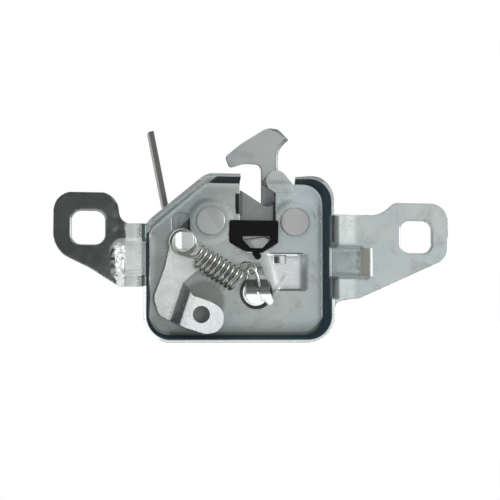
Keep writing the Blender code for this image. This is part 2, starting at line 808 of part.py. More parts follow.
head_corners = [(POST_X + a * wide, POST_Z + b * high, 2.6) for a, b in ((-1, -1), (1, -1), (1, 1), (-1, 1))]
join(post, plate("post_head", rounded(head_corners), -POST_REACH, -POST_REACH + POST_HEAD))


# Extension spring: loop on the post, coil, and a hook in the tongue's fork


def coil_points(start, end, y, radius, turns, per_turn):
    """Points along a coil whose axis lies in the plane y, starting on its upper side."""
    length = math.hypot(end[0] - start[0], end[1] - start[1])
    ax, az = (end[0] - start[0]) / length, (end[1] - start[1]) / length
    points = []
    for i in range(turns * per_turn + 1):
        turn = 2 * math.pi * i / per_turn
        along = length * i / (turns * per_turn)
        up = radius * math.cos(turn)
        points.append(
            (start[0] + ax * along - az * up, y - radius * math.sin(turn), start[1] + az * along + ax * up)
        )
    return points


coil_radius = (COIL_DIAMETER - WIRE) / 2
loop_centre = (POST_X, POST_Z - 0.6)
loop = [
    (x, COIL_Y, z)
    for x, z in arc(loop_centre, coil_radius, math.radians(-70), math.radians(-345))
]
hook = [
    (-1.6, COIL_Y - 1.2, -22.9),
    (1.0, COIL_Y - 1.7, -24.6),
    (TONGUE_HOLE_X, COIL_Y - 1.2, -28.5),
    (TONGUE_HOLE_X, TONGUE_FRONT_Y - WIRE / 2 - 0.6, -33.2),
    (TONGUE_HOLE_X, TONGUE_FRONT_Y + 0.8, -36.2),
    (TONGUE_HOLE_X, TONGUE_FRONT_Y + SHEET + WIRE / 2 + 0.2, -35.8),
    (TONGUE_HOLE_X, TONGUE_FRONT_Y + SHEET + WIRE / 2 + 0.7, -33.4),
]
coil = coil_points(COIL_START, COIL_END, COIL_Y, coil_radius, COIL_TURNS, 14)
wire("release_spring", loop[:-1] + smooth([loop[-1], coil[0]])[:-1] + coil[:-1] + smooth([coil[-1], *hook]), WIRE, steel)


# Torsion springs of the claw and the hook


def torsion(name, centre, radius, start_y, thickness, turns, first_angle, lead, tail):
    """A flat coil about a pivot, with a leg at either end."""
    per_turn = 18
    count = round(turns * per_turn)
    pitch = thickness + 0.15
    body = []
    for i in range(count + 1):
        x, z = polar(centre, radius, first_angle + 2 * math.pi * i / per_turn)
        body.append((x, start_y + pitch * i / per_turn, z))
    return wire(name, [*lead, *body, *tail], thickness, steel)


claw_coil = SLEEVE_RADIUS + CLAW_WIRE / 2 + 0.5
claw_coil_y = LAYER_END + GAP + CLAW_WIRE / 2
claw_leg = polar(RIGHT, CLAW_BOSS + 1.3, math.radians(245))
torsion(
    "claw_spring", RIGHT, claw_coil, claw_coil_y, CLAW_WIRE, 1.6, math.radians(-60),
    [(claw_leg[0], LEVER_LAYER_START + 0.8, claw_leg[1]), (claw_leg[0], claw_coil_y, claw_leg[1] + 0.3)],
    [
        (STAKE_X - 2.6, claw_coil_y + 1.65, -6.0),
        (STAKE_X - 2.4, claw_coil_y + 1.65, STAKE_Z + SHEET / 2 + CLAW_WIRE / 2 + GAP),
    ],
)
hook_coil = SLEEVE_RADIUS + 0.8 + HOOK_WIRE / 2 + 0.4
hook_coil_y = BACK_END + GAP + HOOK_WIRE / 2
torsion(
    "hook_spring", LEFT, hook_coil, hook_coil_y, HOOK_WIRE, 1.25, math.radians(180),
    [(LEFT[0] - hook_coil - 0.1, hook_coil_y, -8.0)],
    [
        (LEFT[0] + 4.0, hook_coil_y + 1.0, -hook_coil - 0.2),
        (LEFT[0] + 9.0, hook_coil_y + 1.0, -11.2),
        (LEFT[0] + 10.4, hook_coil_y + 2.2, -11.8),
        (LEFT[0] + 10.6, HOOK_END, -11.9),
    ],
)


# Back plate: flat, with the throat cut in it, a leg forward to the tray and a stop for the hook


back_left = -33.8
back_right = 33.0
back_top = 12.5
back_bottom = -13.4
back_throat_left = THROAT_LEFT - 2.7
back_throat_right = THROAT_RIGHT + 2.9
leg_left = STAKE_X - LEG_WIDTH / 2
leg_right = STAKE_X + LEG_WIDTH / 2
back_plate = plate(
    "back_plate",
    rounded([
        (back_left, back_bottom, 3), (back_left, 5.0, 6), (-25.0, back_top, 6), (back_throat_left, back_top, 2),
        (back_throat_left, REST_LEVEL - 2.2, 3), (back_throat_right, REST_LEVEL - 2.2, 3),
        (back_throat_right, back_top, 2), (25.0, back_top, 6), (back_right, 4.0, 6), (back_right, -7.0, 5),
        (leg_right + 2, back_bottom - 1.5, 4), (leg_left - 2, back_bottom - 1.5, 4), (-4.0, back_bottom, 8),
    ]),
    BACK_START,
    BACK_END,
    zinc,
)
leg_foot = SHEET + POCKET_DEPTH + GAP
leg_path = [(0, BACK_START + SHEET / 2), (-STAKE_Z - 8.0, BACK_START + SHEET / 2, 2.2), (-STAKE_Z - 8.0, leg_foot)]
leg = section(
    "back_leg", ribbon(leg_path, SHEET - 2 * EAR_SHELL), (STAKE_X, -8.0), 0.0, -LEG_WIDTH / 2, LEG_WIDTH / 2
)
stake_front = POCKET_DEPTH - 0.5
stop_top = -10.4
join(
    back_plate,
    leg,
    box("stake", STAKE_X - STAKE_WIDTH / 2, STAKE_X + STAKE_WIDTH / 2, stake_front, leg_foot + 1.0,
        STAKE_Z - STAKE_HEIGHT / 2, STAKE_Z + STAKE_HEIGHT / 2),
    box("hook_stop", back_left + 0.6, back_left + 6.0, BACK_START + 0.6, HOOK_END, stop_top - SHEET, stop_top),
)
cut(
    back_plate,
    bore("back_left_bore", LEFT, SHANK_RADIUS + GAP, BACK_START - 1, BACK_END + 1),
    bore("back_right_bore", RIGHT, SHANK_RADIUS + GAP, BACK_START - 1, BACK_END + 1),
)


# Safety hook: flat hook and arm behind the back plate, with the finger blade folded back


hook_shank_left = 7.0
hook_shank_right = 16.2
hook_arm_top = REST_LEVEL - 1.9
safety_hook = plate(
    "safety_hook",
    rounded([
        *arc(LEFT, HOOK_BOSS, math.radians(78), math.radians(8)),
        (-10.0, hook_arm_top, 2),
        (hook_shank_left, hook_arm_top, 4),
        (hook_shank_left, HOOK_TOP - 18.2, 3.2),
        (-1.5, HOOK_TOP - 17.8, 8),
        (-8.9, HOOK_TOP - 20.2, 1.8),
        (-11.0, HOOK_TOP - 14.6, 2.2),
        (-3.9, HOOK_TOP - 8.6, 14),
        (9.5, HOOK_TOP, 9),
        (15.4, HOOK_TOP, 5),
        (20.9, HOOK_TOP - 5.5, 0.5),
        (15.6, HOOK_TOP - 10.2, 9),
        (15.2, 30.0, 10),
        (hook_shank_right, 20.0, 12),
        (hook_shank_right, -10.5, 9),
        (-14.0, -10.4, 6),
        (-34.5, -10.0, 2),
        (BLADE_FOLD_X + 1.6, 4.6, 2),
    ]),
    HOOK_START,
    HOOK_END,
    zinc,
)
blade_path = [
    (7.0, (HOOK_START + HOOK_END) / 2),
    (0, (HOOK_START + HOOK_END) / 2, 2.6),
    (0, HOOK_END + BLADE_DEPTH),
]
fold = section(
    "blade_fold", ribbon(blade_path, HOOK_SHEET - 2 * EAR_SHELL), (BLADE_FOLD_X, BLADE_FOLD_Z), BLADE_ANGLE,
    -BLADE_FOOT, -3.0,
)
blade_middle = (HOOK_START + HOOK_END) / 2
half = HOOK_SHEET / 2
blade = section(
    "blade",
    [(-half, blade_middle + 2.0), (half, blade_middle + 2.0), (half, HOOK_END + BLADE_DEPTH - 0.3),
     (-half, HOOK_END + BLADE_DEPTH - 0.3)],
    (BLADE_FOLD_X, BLADE_FOLD_Z), BLADE_ANGLE, -10.0, BLADE_TOP,
)
join(safety_hook, fold, blade)
cut(safety_hook, bore("hook_bore", LEFT, BORE_RADIUS, HOOK_START - 1, HOOK_END + 1))
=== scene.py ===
import json
import math

import bmesh
import bpy
from mathutils import Matrix, Vector, noise

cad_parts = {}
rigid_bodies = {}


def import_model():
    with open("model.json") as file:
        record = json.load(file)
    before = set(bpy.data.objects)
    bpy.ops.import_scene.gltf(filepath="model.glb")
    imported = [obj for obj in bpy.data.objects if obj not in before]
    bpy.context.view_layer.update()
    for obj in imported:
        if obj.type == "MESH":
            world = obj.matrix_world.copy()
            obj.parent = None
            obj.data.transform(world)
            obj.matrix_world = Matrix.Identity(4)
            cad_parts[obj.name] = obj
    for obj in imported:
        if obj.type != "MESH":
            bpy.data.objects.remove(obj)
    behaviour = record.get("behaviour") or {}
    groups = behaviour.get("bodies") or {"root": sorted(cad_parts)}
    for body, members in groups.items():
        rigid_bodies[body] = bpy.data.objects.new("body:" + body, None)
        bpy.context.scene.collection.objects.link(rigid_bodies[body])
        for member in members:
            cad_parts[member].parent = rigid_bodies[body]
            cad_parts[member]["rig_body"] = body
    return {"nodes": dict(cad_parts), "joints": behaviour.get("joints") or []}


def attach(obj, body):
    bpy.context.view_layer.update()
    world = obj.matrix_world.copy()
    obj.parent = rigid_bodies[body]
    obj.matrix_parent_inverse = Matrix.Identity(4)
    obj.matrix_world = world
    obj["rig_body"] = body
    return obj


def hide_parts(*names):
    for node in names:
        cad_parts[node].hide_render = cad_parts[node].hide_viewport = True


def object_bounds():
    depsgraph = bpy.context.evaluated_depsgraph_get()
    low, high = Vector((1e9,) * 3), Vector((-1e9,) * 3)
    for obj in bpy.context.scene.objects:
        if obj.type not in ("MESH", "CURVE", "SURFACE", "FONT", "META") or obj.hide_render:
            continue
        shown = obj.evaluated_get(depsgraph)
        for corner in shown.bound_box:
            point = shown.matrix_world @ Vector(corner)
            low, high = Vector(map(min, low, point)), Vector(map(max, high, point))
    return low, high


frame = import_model()
cad_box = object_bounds()
scene = bpy.context.scene
scene.view_settings.view_transform = "Standard"


# The view: from the left and a little below, square to the open side of the tray. The drawing's
# centre is the point midway between the two pivot rivets, on the front of the tray's floor, and
# sizes below are millimetres from that centre.

MM = 0.001
left_pivot, right_pivot = frame["joints"][1]["pos_m"], frame["joints"][0]["pos_m"]
TRAY_FACE = 7.05 * MM
CENTRE = Vector(((left_pivot[0] + right_pivot[0]) / 2, TRAY_FACE, left_pivot[2]))


def spot(x, y, z):
    """A point of the drawing, in metres in the model's own axes."""
    return CENTRE + Vector((x, y, z)) * MM


VIEW_TURN = math.radians(9.5)
VIEW_LIFT = math.radians(-4.5)
VIEW_DISTANCE = 600
forward = Vector((
    math.sin(VIEW_TURN) * math.cos(VIEW_LIFT),
    math.cos(VIEW_TURN) * math.cos(VIEW_LIFT),
    -math.sin(VIEW_LIFT),
))
eye = bpy.data.cameras.new("eye")
eye.sensor_width = 36
eye.lens = 90
eye.shift_x = -0.0055
eye.shift_y = -0.057
camera = bpy.data.objects.new("camera", eye)
camera.location = spot(*(forward * -VIEW_DISTANCE))
camera.rotation_euler = forward.to_track_quat("-Z", "Y").to_euler()
scene.collection.objects.link(camera)
scene.camera = camera


# Floor and light: a white table under the latch, a bright room behind and beside it, and a darker
# stretch in front, round the camera, which gives polished sheet its dark and light bands. Glossy rays
# see the table as a plain grey.


class Link:
    """One output of a shader node. Python's operators on it add Math nodes."""

    def __init__(self, nodes, socket):
        self.nodes = nodes
        self.socket = socket

    def maths(self, operation, *values):
        return self.nodes.add("ShaderNodeMath", {"operation": operation}, dict(enumerate(values)))

    def __add__(self, other):
        return self.maths("ADD", self, other)

    def __sub__(self, other):
        return self.maths("SUBTRACT", self, other)

    def __rsub__(self, other):
        return self.maths("SUBTRACT", other, self)

    def __mul__(self, other):
        return self.maths("MULTIPLY", self, other)

    __radd__ = __add__
    __rmul__ = __mul__

    def between(self, low, high):
        """0 at low, 1 at high and clamped outside them."""
        return self.nodes.add(
            "ShaderNodeMapRange",
            {"interpolation_type": "SMOOTHSTEP"},
            {"Value": self, "From Min": low, "From Max": high},
        )


class Nodes:
    """A node tree that nodes are added to, with their settings first and then their inputs."""

    def __init__(self, tree):
        self.tree = tree

    def add(self, kind, settings=None, inputs=None, output=0):
        node = self.tree.nodes.new(kind)
        for name, value in (settings or {}).items():
            if name == "stops":
                ramp = node.color_ramp.elements
                while len(ramp) < len(value):
                    ramp.new(0.5)
                for stop, (place, colour) in zip(ramp, value):
                    stop.position = place
                    stop.color = (*colour, 1.0)
            else:
                setattr(node, name, value)
        for name, value in (inputs or {}).items():
            self.set(node.inputs[name], value)
        return Link(self, node.outputs[output]) if node.outputs else node

    def set(self, socket, value):
        if isinstance(value, Link):
            self.tree.links.new(value.socket, socket)
        else:
            socket.default_value = value

    def mix(self, factor, first, second):
        """One colour turning into another as the factor goes from 0 to 1."""
        colours = [(*c, 1.0) if isinstance(c, tuple) else c for c in (first, second)]
        return self.add(
            "ShaderNodeMix", {"data_type": "RGBA"}, {0: factor, 6: colours[0], 7: colours[1]}, output=2
        )


def softbox(name, where, toward, width, height, power):
    light = bpy.data.lights.new(name, "AREA")
    light.shape = "RECTANGLE"
    light.size = width
    light.size_y = height
    light.energy = power
    lamp = bpy.data.objects.new(name, light)
    lamp.location = spot(*where)
    lamp.rotation_euler = (spot(*toward) - lamp.location).to_track_quat("-Z", "Y").to_euler()
    scene.collection.objects.link(lamp)
    return lamp


for lamp in (
    softbox("top_box", (-160, -420, 620), (0, 0, 0), 0.7, 0.5, 4.4),
    softbox("left_box", (-620, -320, 120), (0, 0, 0), 0.4, 0.6, 2.8),
):
    lamp.visible_glossy = False
softbox("right_box", (560, -240, -20), (0, 0, 0), 0.3, 0.5, 2.0)
softbox("low_box", (-210, -520, -15), (0, 0, -30), 0.10, 0.06, 0.8).visible_glossy = False

room = bpy.data.worlds.new("room")
scene.world = room
room.use_nodes = True
room.node_tree.nodes.clear()
sky = Nodes(room.node_tree)
way = sky.add("ShaderNodeSeparateXYZ", inputs={0: sky.add("ShaderNodeTexCoord", output=0)})
way_x, way_y, way_z = (Link(sky, output) for output in way.socket.node.outputs)
near_side = sky.mix(way_x.between(0.07, 0.24), (0.36, 0.37, 0.36), (0.74, 0.76, 0.76))
beside = sky.mix(way_x.between(0.35, 0.9), near_side, (1.15, 1.15, 1.12))
height = way_z.between(0.0, 0.26) * (0.9 - way_x.between(0.1, 0.26) * 0.45)
above = sky.mix(height, beside, (0.055, 0.085, 0.095))
dim = sky.mix((way_x * -1).between(0.25, 0.95), (0.035, 0.040, 0.042), (0.055, 0.070, 0.075))
ahead = sky.mix((way_x - way_z * 0.25).between(0.045, 0.095), dim, above)
behind = sky.mix(way_x.between(-0.8, 0.1), (0.22, 0.24, 0.25), (1.0, 1.0, 1.0))
gloss = sky.mix((way_y * -1).between(-0.15, 0.25), behind, ahead)
path = sky.add("ShaderNodeLightPath", output="Is Camera Ray")
glossy = Link(sky, path.socket.node.outputs["Is Glossy Ray"])
diffuse = sky.mix(glossy, (0.55, 0.56, 0.57), gloss)
seen = sky.mix(path, diffuse, (1.0, 1.0, 1.0))
lit = sky.add("ShaderNodeBackground", inputs={"Color": seen, "Strength": 1.0})
sky.add("ShaderNodeOutputWorld", inputs={"Surface": lit})

ground = bmesh.new()
bmesh.ops.create_grid(ground, x_segments=1, y_segments=1, size=3.0)
TABLE_GAP = 0.2 * MM
floor_level = cad_box[0][2] - TABLE_GAP
bmesh.ops.translate(ground, verts=ground.verts, vec=(CENTRE.x, CENTRE.y, floor_level))
table_mesh = bpy.data.meshes.new("table")
ground.to_mesh(table_mesh)
ground.free()
table = bpy.data.objects.new("table", table_mesh)
scene.collection.objects.link(table)
white = bpy.data.materials.new("table_white")
white.use_nodes = True
white.node_tree.nodes.clear()
paint = Nodes(white.node_tree)
matt = paint.add("ShaderNodeBsdfDiffuse", inputs={"Color": (0.86, 0.87, 0.87, 1.0)})
seen_plainly = paint.add("ShaderNodeLightPath", output="Is Camera Ray")
seen_in_gloss = Link(paint, seen_plainly.socket.node.outputs["Is Glossy Ray"])
shine = paint.add(
    "ShaderNodeEmission", inputs={"Color": (1.0, 1.0, 1.0, 1.0), "Strength": 0.05 + seen_plainly * 0.75}
)
both = paint.add("ShaderNodeAddShader", inputs={0: matt, 1: shine})
grey = paint.add("ShaderNodeEmission", inputs={"Color": (0.52, 0.55, 0.54, 1.0), "Strength": 1.0})
shown = paint.add("ShaderNodeMixShader", inputs={0: seen_in_gloss, 1: both, 2: grey})
paint.add("ShaderNodeOutputMaterial", inputs={"Surface": shown})
table_mesh.materials.append(white)


# Tray with its two bolt ears: one pressing in 2 mm zinc-plated sheet. The cup is drawn, its floor
# pressed and its openings punched. Horn, tongue and ears are sheets of their own, bent and cut like the
# real ones, which overlap the cup where the real sheet runs through.

SHEET = 2.0
RIM = -12.0
CUP_MIDDLE = (-7.9, -18.1)
CUP_HALF = (43.4, 37.8)
CUP_CORNER = 11.0
POCKET_DEPTH = 1.05
TONGUE_HOLE = (1.7, -34.1)


def metal(name, colour, roughness, grain=(1.0, 1.0, 1.0), tints=None, bump=0.000013, drawn=None, dusty=0.0):
    """A plated steel, with two tints that drift over it and grain stretched along one axis.

    dusty is its matt share, and drawn gives masks with tones of their own, which paint light and shade onto
    it."""
    look = bpy.data.materials.new(name)
    look.use_nodes = True
    nodes = Nodes(look.node_tree)
    shader = look.node_tree.nodes["Principled BSDF"]
    place = nodes.add("ShaderNodeTexCoord", output="Object")
    drift = nodes.add("ShaderNodeTexNoise", inputs={"Vector": place, "Scale": 22.0, "Detail": 4.0})
    smear = nodes.add(
        "ShaderNodeTexNoise", inputs={"Vector": place, "Scale": 90.0, "Detail": 6.0, "Distortion": 1.2}
    )
    stretched = nodes.add("ShaderNodeMapping", inputs={"Vector": place, "Scale": grain})
    fine = nodes.add("ShaderNodeTexNoise", inputs={"Vector": stretched, "Scale": 900.0, "Detail": 3.0})
    tint_a, tint_b = tints or (colour, colour)
    tinted = nodes.mix(drift.between(0.35, 0.65), tint_a, tint_b)
    dull = tuple(0.72 * value for value in colour)
    base = nodes.mix(smear.between(0.48, 0.75) * 0.55, tinted, dull)
    rough = roughness + (smear - 0.5) * 0.22 + (fine - 0.5) * 0.10
    bare = 1 - dusty
    for mask, tone, change, share in drawn(nodes, place) if drawn else ():
        base = nodes.mix(mask, base, tone)
        rough = rough + mask * change
        bare = (1 - mask) * bare + mask * share
    nodes.set(shader.inputs["Metallic"], bare)
    nodes.set(shader.inputs["Base Color"], base)
    nodes.set(shader.inputs["Roughness"], rough)
    relief = nodes.add(
        "ShaderNodeBump", inputs={"Height": fine + smear * 0.3, "Strength": 0.5, "Distance": bump}
    )
    nodes.set(shader.inputs["Normal"], relief)
    return look


def painted_tray_light(nodes, place):
    """Painted light and shade on the tray, where it looks brighter or darker than its plating: masks with a
    tone, a roughness change and a metal share. x, y and z are millimetres from the drawing's centre."""
    split = nodes.add("ShaderNodeSeparateXYZ", inputs={0: place}).socket.node
    x, y, z = ((Link(nodes, output) - middle) * 1000 for output, middle in zip(split.outputs, CENTRE))

    def within(value, low, high, soft):
        return value.between(low, low + soft) * (1 - value.between(high - soft, high))

    def far(value):
        return value.maths("ABSOLUTE", value)

    def round_spot(centre, inner, outer):
        """1 round a point and 0 beyond it, by the squares of the distances."""
        across, up = x - centre[0], z - centre[1]
        return 1 - (across * across + up * up).between(inner, outer)

    # How far a point lies outside the rim's rounded outline, for the painted dark reflection on the walls
    # and the painted highlight on the lips.
    across, upright = (
        far(value - middle) - (half - CUP_CORNER) for value, middle, half in zip((x, z), CUP_MIDDLE, CUP_HALF)
    )
    past_x, past_z = across.maths("MAXIMUM", across, 0.0), upright.maths("MAXIMUM", upright, 0.0)
    round_part = across.maths("SQRT", past_x * past_x + past_z * past_z)
    straight_part = across.maths("MINIMUM", across.maths("MAXIMUM", across, upright), 0.0)
    outward = round_part + straight_part - CUP_CORNER
    at_tongue = within(x, -6.0, 11.0, 0.5) * within(z, -43.0, -18.0, 0.5)
    slanted = (z * 0.768 - x * 0.64).between(27.3, 28.3) * 0.8
    lower_foot = (-45.0 - z).between(0.0, 5.0) * 1.5
    wall = within(y, -12.6, 0.3, 0.5) * (outward + lower_foot).between(-1.9, -1.3)
    wall = wall * (1 - outward.between(0.3, 0.8)) * (1 - at_tongue) * (1 - slanted)
    lips = (-11.6 - y).between(0.0, 0.3) * (-8.0 - z).between(0.0, 6.0) * outward.between(0.4, 0.9)
    lips = lips * (0.45 + (-44.0 - x).between(0.0, 3.0) * 0.4)

    # The left ear painted darker as painted shade, its strap painted light, painted glints on the crumpled
    # sheet between them, and painted shade in the bend.
    left = (-55.0 - x).between(0.0, 4.0)
    mottle = nodes.add("ShaderNodeTexNoise", inputs={"Vector": place, "Scale": 620.0, "Detail": 2.0})
    left_strap = within(x + (mottle - 0.5) * 2.5, -62.2, -53.0, 1.4) * (y + 11.2).between(0.0, 0.6) * 0.55
    left_bend = within(x, -54.2, -51.2, 0.5) * within(z, -31.6, -2.4, 0.4)
    left_bend = left_bend * (1 - (y + 10.8).between(0.0, 0.6))
    ragged_x, ragged_z = x + (mottle - 0.5) * 6.0, z + (mottle - 0.5) * 5.0
    crinkled = within(ragged_x, -66.6, -61.0, 1.6) * within(ragged_z, -33.0, -11.0, 2.0) * 0.6

    # The right ear's bend and the end of its dart, painted dark as painted shade, and a painted highlight
    # on the ridge beyond the dart.
    in_dart = within(z, -26.6, -12.4, 0.6)
    bend = within(x, 35.2, 40.5, 1.4) * within(z, -37.7, 2.8, 0.8) * (1 - in_dart)
    dart_end = within(x, 51.1, 55.5, 0.6) * in_dart
    ridge = within(x, 55.5, 56.9, 0.4) * in_dart

    # The tongue, which stands above the floor: painted shade on its dome and neck, a painted highlight on its
    # prongs, and a painted dark ring of shade round its hole.
    raised = (-0.85 - y).between(0.0, 0.6) * within(x, -4.7, 10.0, 0.4)
    dome = raised * within(z, -35.6, -26.7, 2.0)
    neck = raised * within(z, -26.7, -19.4, 1.4) * 0.6
    prongs = raised * within(z, -42.2, -34.8, 0.4)
    not_behind = 1 - y.between(1.2, 1.6)
    ring = round_spot(TONGUE_HOLE, 61.0, 67.0) * (y + 0.85).between(0.0, 0.4) * not_behind

    # The floor: painted shade at its lower end, a painted shadow under the lever's tab, painted light in
    # the pocket and at the top right, painted shade beside the lever, under the coil and on the pocket's
    # ramp and its step, and a painted highlight along the pocket's crest.
    low_shade = (-46.0 - z).between(0.0, 8.5) * within(y, -0.6, 1.7, 0.4) * 0.62
    on_floor = (y + 0.45).between(0.0, 0.3) * not_behind
    # A painted shadow under the lever's tab.
    tab_shadow = round_spot((-24.0, -38.7), 75.0, 135.0) * on_floor
    pocket = within(x, 8.0, 25.5, 4.5) * within(z, -32.5, -15.8, 3.5) * on_floor * 0.65
    beside_lever = (-38.5 - x).between(0.0, 3.0) * (-12.0 - z).between(0.0, 8.0) * on_floor * 0.8
    top_right = (x - 14.0).between(0.0, 8.0) * (z - 3.0).between(0.0, 7.0) * on_floor * 0.4
    along = (x + 26.7) * 0.863 - (z + 16.2) * 0.506
    beside_axis = far((x + 26.7) * 0.506 + (z + 16.2) * 0.863)
    coil_shade = within(along, 0.0, 23.0, 2.5) * (1 - beside_axis.between(2.0, 5.5)) * on_floor * 0.6
    ramp = x.between(22.2, 24.8) * (1 - x.between(26.2, 26.8)) * z.between(-32.4, -31.8)
    ramp = ramp * (1 - z.between(-25.0, -18.0)) * on_floor * 0.8
    step = within(x, 12.5, 26.1, 0.8) * within(z, -33.4, -32.2, 0.3) * on_floor * 0.8
    crest = within(x, 6.5, 22.7, 1.0) * within(z, -16.3, -15.4, 0.2) * on_floor * 0.9
    return (
        (wall, (0.012, 0.026, 0.034), 0.45, 0.2),
        (lips, (0.86, 0.89, 0.89), 0.05, 0.3),
        (low_shade, (0.16, 0.17, 0.15), 0.1, 0.8),
        (left, (0.50, 0.51, 0.50), -0.12, 0.955),
        (left_strap, (0.84, 0.88, 0.85), 0.1, 0.45),
        (crinkled, (0.95, 0.96, 0.96), 0.15, 0.2),
        (left_bend, (0.10, 0.13, 0.12), 0.0, 0.9),
        (beside_lever, (0.42, 0.46, 0.45), 0.0, 0.8),
        (top_right, (0.80, 0.88, 0.93), 0.0, 0.6),
        (pocket, (0.84, 0.84, 0.86), 0.05, 0.6),
        (coil_shade, (0.22, 0.23, 0.23), 0.05, 0.8),
        (tab_shadow, (0.36, 0.38, 0.36), 0.05, 0.85),
        (bend, (0.20, 0.22, 0.21), -0.05, 0.9),
        (dart_end, (0.27, 0.27, 0.24), 0.15, 0.6),
        (ridge, (0.92, 0.93, 0.92), 0.1, 0.4),
        (dome, (0.17, 0.18, 0.18), 0.0, 0.8),
        (neck, (0.30, 0.29, 0.27), 0.0, 0.9),
        (prongs, (0.90, 0.92, 0.91), 0.1, 0.3),
        (ring, (0.05, 0.055, 0.055), 0.2, 0.3),
        (ramp, (0.17, 0.17, 0.19), 0.1, 0.7),
        (step, (0.10, 0.10, 0.10), 0.1, 0.5),
        (crest, (0.97, 0.98, 0.99), 0.1, 0.2),
    )


sheared_steel = metal("sheared_steel", (0.13, 0.14, 0.14), 0.5)
# The tray's zinc, with its masks of painted light and shade.
tray_zinc = metal(
    "tray_zinc", (0.60, 0.64, 0.62), 0.24, (0.15, 1.0, 1.0), ((0.54, 0.61, 0.62), (0.63, 0.665, 0.635)),
    drawn=painted_tray_light, dusty=0.2,
)

RIM_CORNERS = [
    (-51.3, -3.68, 8.1), (-23.2, 19.7, 7.1), (35.5, 19.7, 10.1), (35.5, -55.9, 11.1), (-51.3, -55.9, 11.1),
]


def drawn_face(corners, level):
    """A flat face through corners (x, z, radius) at the depth y = level, its corners rounded."""
    mesh = bmesh.new()
    points = [mesh.verts.new((corner[0], level, corner[1])) for corner in corners]
    mesh.faces.new(points)
    for i, corner in enumerate(corners):
        if len(corner) < 3:
            continue
        here = Vector(corner[:2])
        before, after = (Vector(corners[j % len(corners)][:2]) - here for j in (i - 1, i + 1))
        reach = corner[2] / math.tan(before.angle(after) / 2)
        bmesh.ops.bevel(
            mesh, geom=[points[i]], offset=reach, offset_type="OFFSET", segments=7, profile=0.5,
            affect="VERTICES", material=-1, clamp_overlap=False,
        )
    return mesh


def blank(corners, front, back):
    """A flat blank cut from plate, from the depth y = front to y = back."""
    mesh = drawn_face(corners, front)
    pushed = bmesh.ops.extrude_face_region(mesh, geom=mesh.faces[:], use_keep_orig=True)
    bmesh.ops.translate(
        mesh, verts=[v for v in pushed["geom"] if isinstance(v, bmesh.types.BMVert)], vec=(0, back - front, 0)
    )
    bmesh.ops.recalc_face_normals(mesh, faces=mesh.faces)
    return mesh


def disc(x, z, radius, front, back, far_radius=None):
    """A round bar along Y, or a cone when it ends in another radius."""
    mesh = bmesh.new()
    bmesh.ops.create_cone(
        mesh, cap_ends=True, segments=64, radius1=radius, radius2=far_radius or radius, depth=back - front
    )
    bmesh.ops.rotate(mesh, verts=mesh.verts, matrix=Matrix.Rotation(math.radians(-90), 3, "X"))
    bmesh.ops.translate(mesh, verts=mesh.verts, vec=(x, (front + back) / 2, z))
    bmesh.ops.recalc_face_normals(mesh, faces=mesh.faces)
    return mesh


def block(x0, x1, y0, y1, z0, z1):
    return blank([(x0, z0), (x1, z0), (x1, z1), (x0, z1)], y0, y1)


def prism(outline, low, high):
    """A bar along Z with its outline (x, y)."""
    mesh = blank([(x, -y) for x, y in outline], low, high)
    bmesh.ops.rotate(mesh, verts=mesh.verts, matrix=Matrix.Rotation(math.radians(90), 3, "X"))
    return mesh


def placed(name, mesh, look=None):
    """Puts a mesh drawn in millimetres round the drawing's centre into the scene."""
    bmesh.ops.transform(mesh, matrix=Matrix.Translation(CENTRE) @ Matrix.Scale(MM, 4), verts=mesh.verts)
    data = bpy.data.meshes.new(name)
    mesh.to_mesh(data)
    mesh.free()
    piece = bpy.data.objects.new(name, data)
    scene.collection.objects.link(piece)
    if look:
        data.materials.append(look)
    return piece


def settled(piece):
    """Turns a piece's modifiers into mesh."""
    whole = piece.evaluated_get(bpy.context.evaluated_depsgraph_get())
    mesh = bpy.data.meshes.new_from_object(whole)
    piece.modifiers.clear()
    piece.data = mesh
    return piece


def joined(piece, other):
    """Puts a second closed shell, which overlaps the piece like a weld, into the piece's mesh."""
    mesh = bmesh.new()
    mesh.from_mesh(piece.data)
    mesh.from_mesh(other.data)
    mesh.to_mesh(piece.data)
    mesh.free()
    bpy.data.objects.remove(other)


def sheared(mesh, widest=1.2e-4):
    """Marks the narrow faces that the shear left, which stay dull and dark, for a second material."""
    mesh.normal_update()
    for face in mesh.faces:
        if abs(face.normal.y) < 0.4 and face.calc_area() < widest:
            face.material_index = 1


def in_order(piece):
    """Gives points, edges and faces an order of their own, because a boolean's order varies by run."""
    mesh = bmesh.new()
    mesh.from_mesh(piece.data)
    for parts, place in (
        (mesh.verts, lambda vert: vert.co[:]),
        (mesh.edges, lambda edge: sorted(vert.index for vert in edge.verts)),
        (mesh.faces, lambda face: sorted(vert.index for vert in face.verts)),
    ):
        rank = {part.index: i for i, part in enumerate(sorted(parts, key=place))}
        parts.sort(key=lambda part: rank[part.index])
        parts.index_update()
    mesh.to_mesh(piece.data)
    mesh.free()


def punched(piece, operation, *tools):
    """Cuts tools out of a piece, or keeps only what lies in them, one after another."""
    for tool in tools:
        die = placed("die", tool)
        press = piece.modifiers.new("press", "BOOLEAN")
        press.operation = operation
        press.solver = "EXACT"
        press.object = die
        in_order(settled(piece))
        bpy.data.objects.remove(die)
    return piece


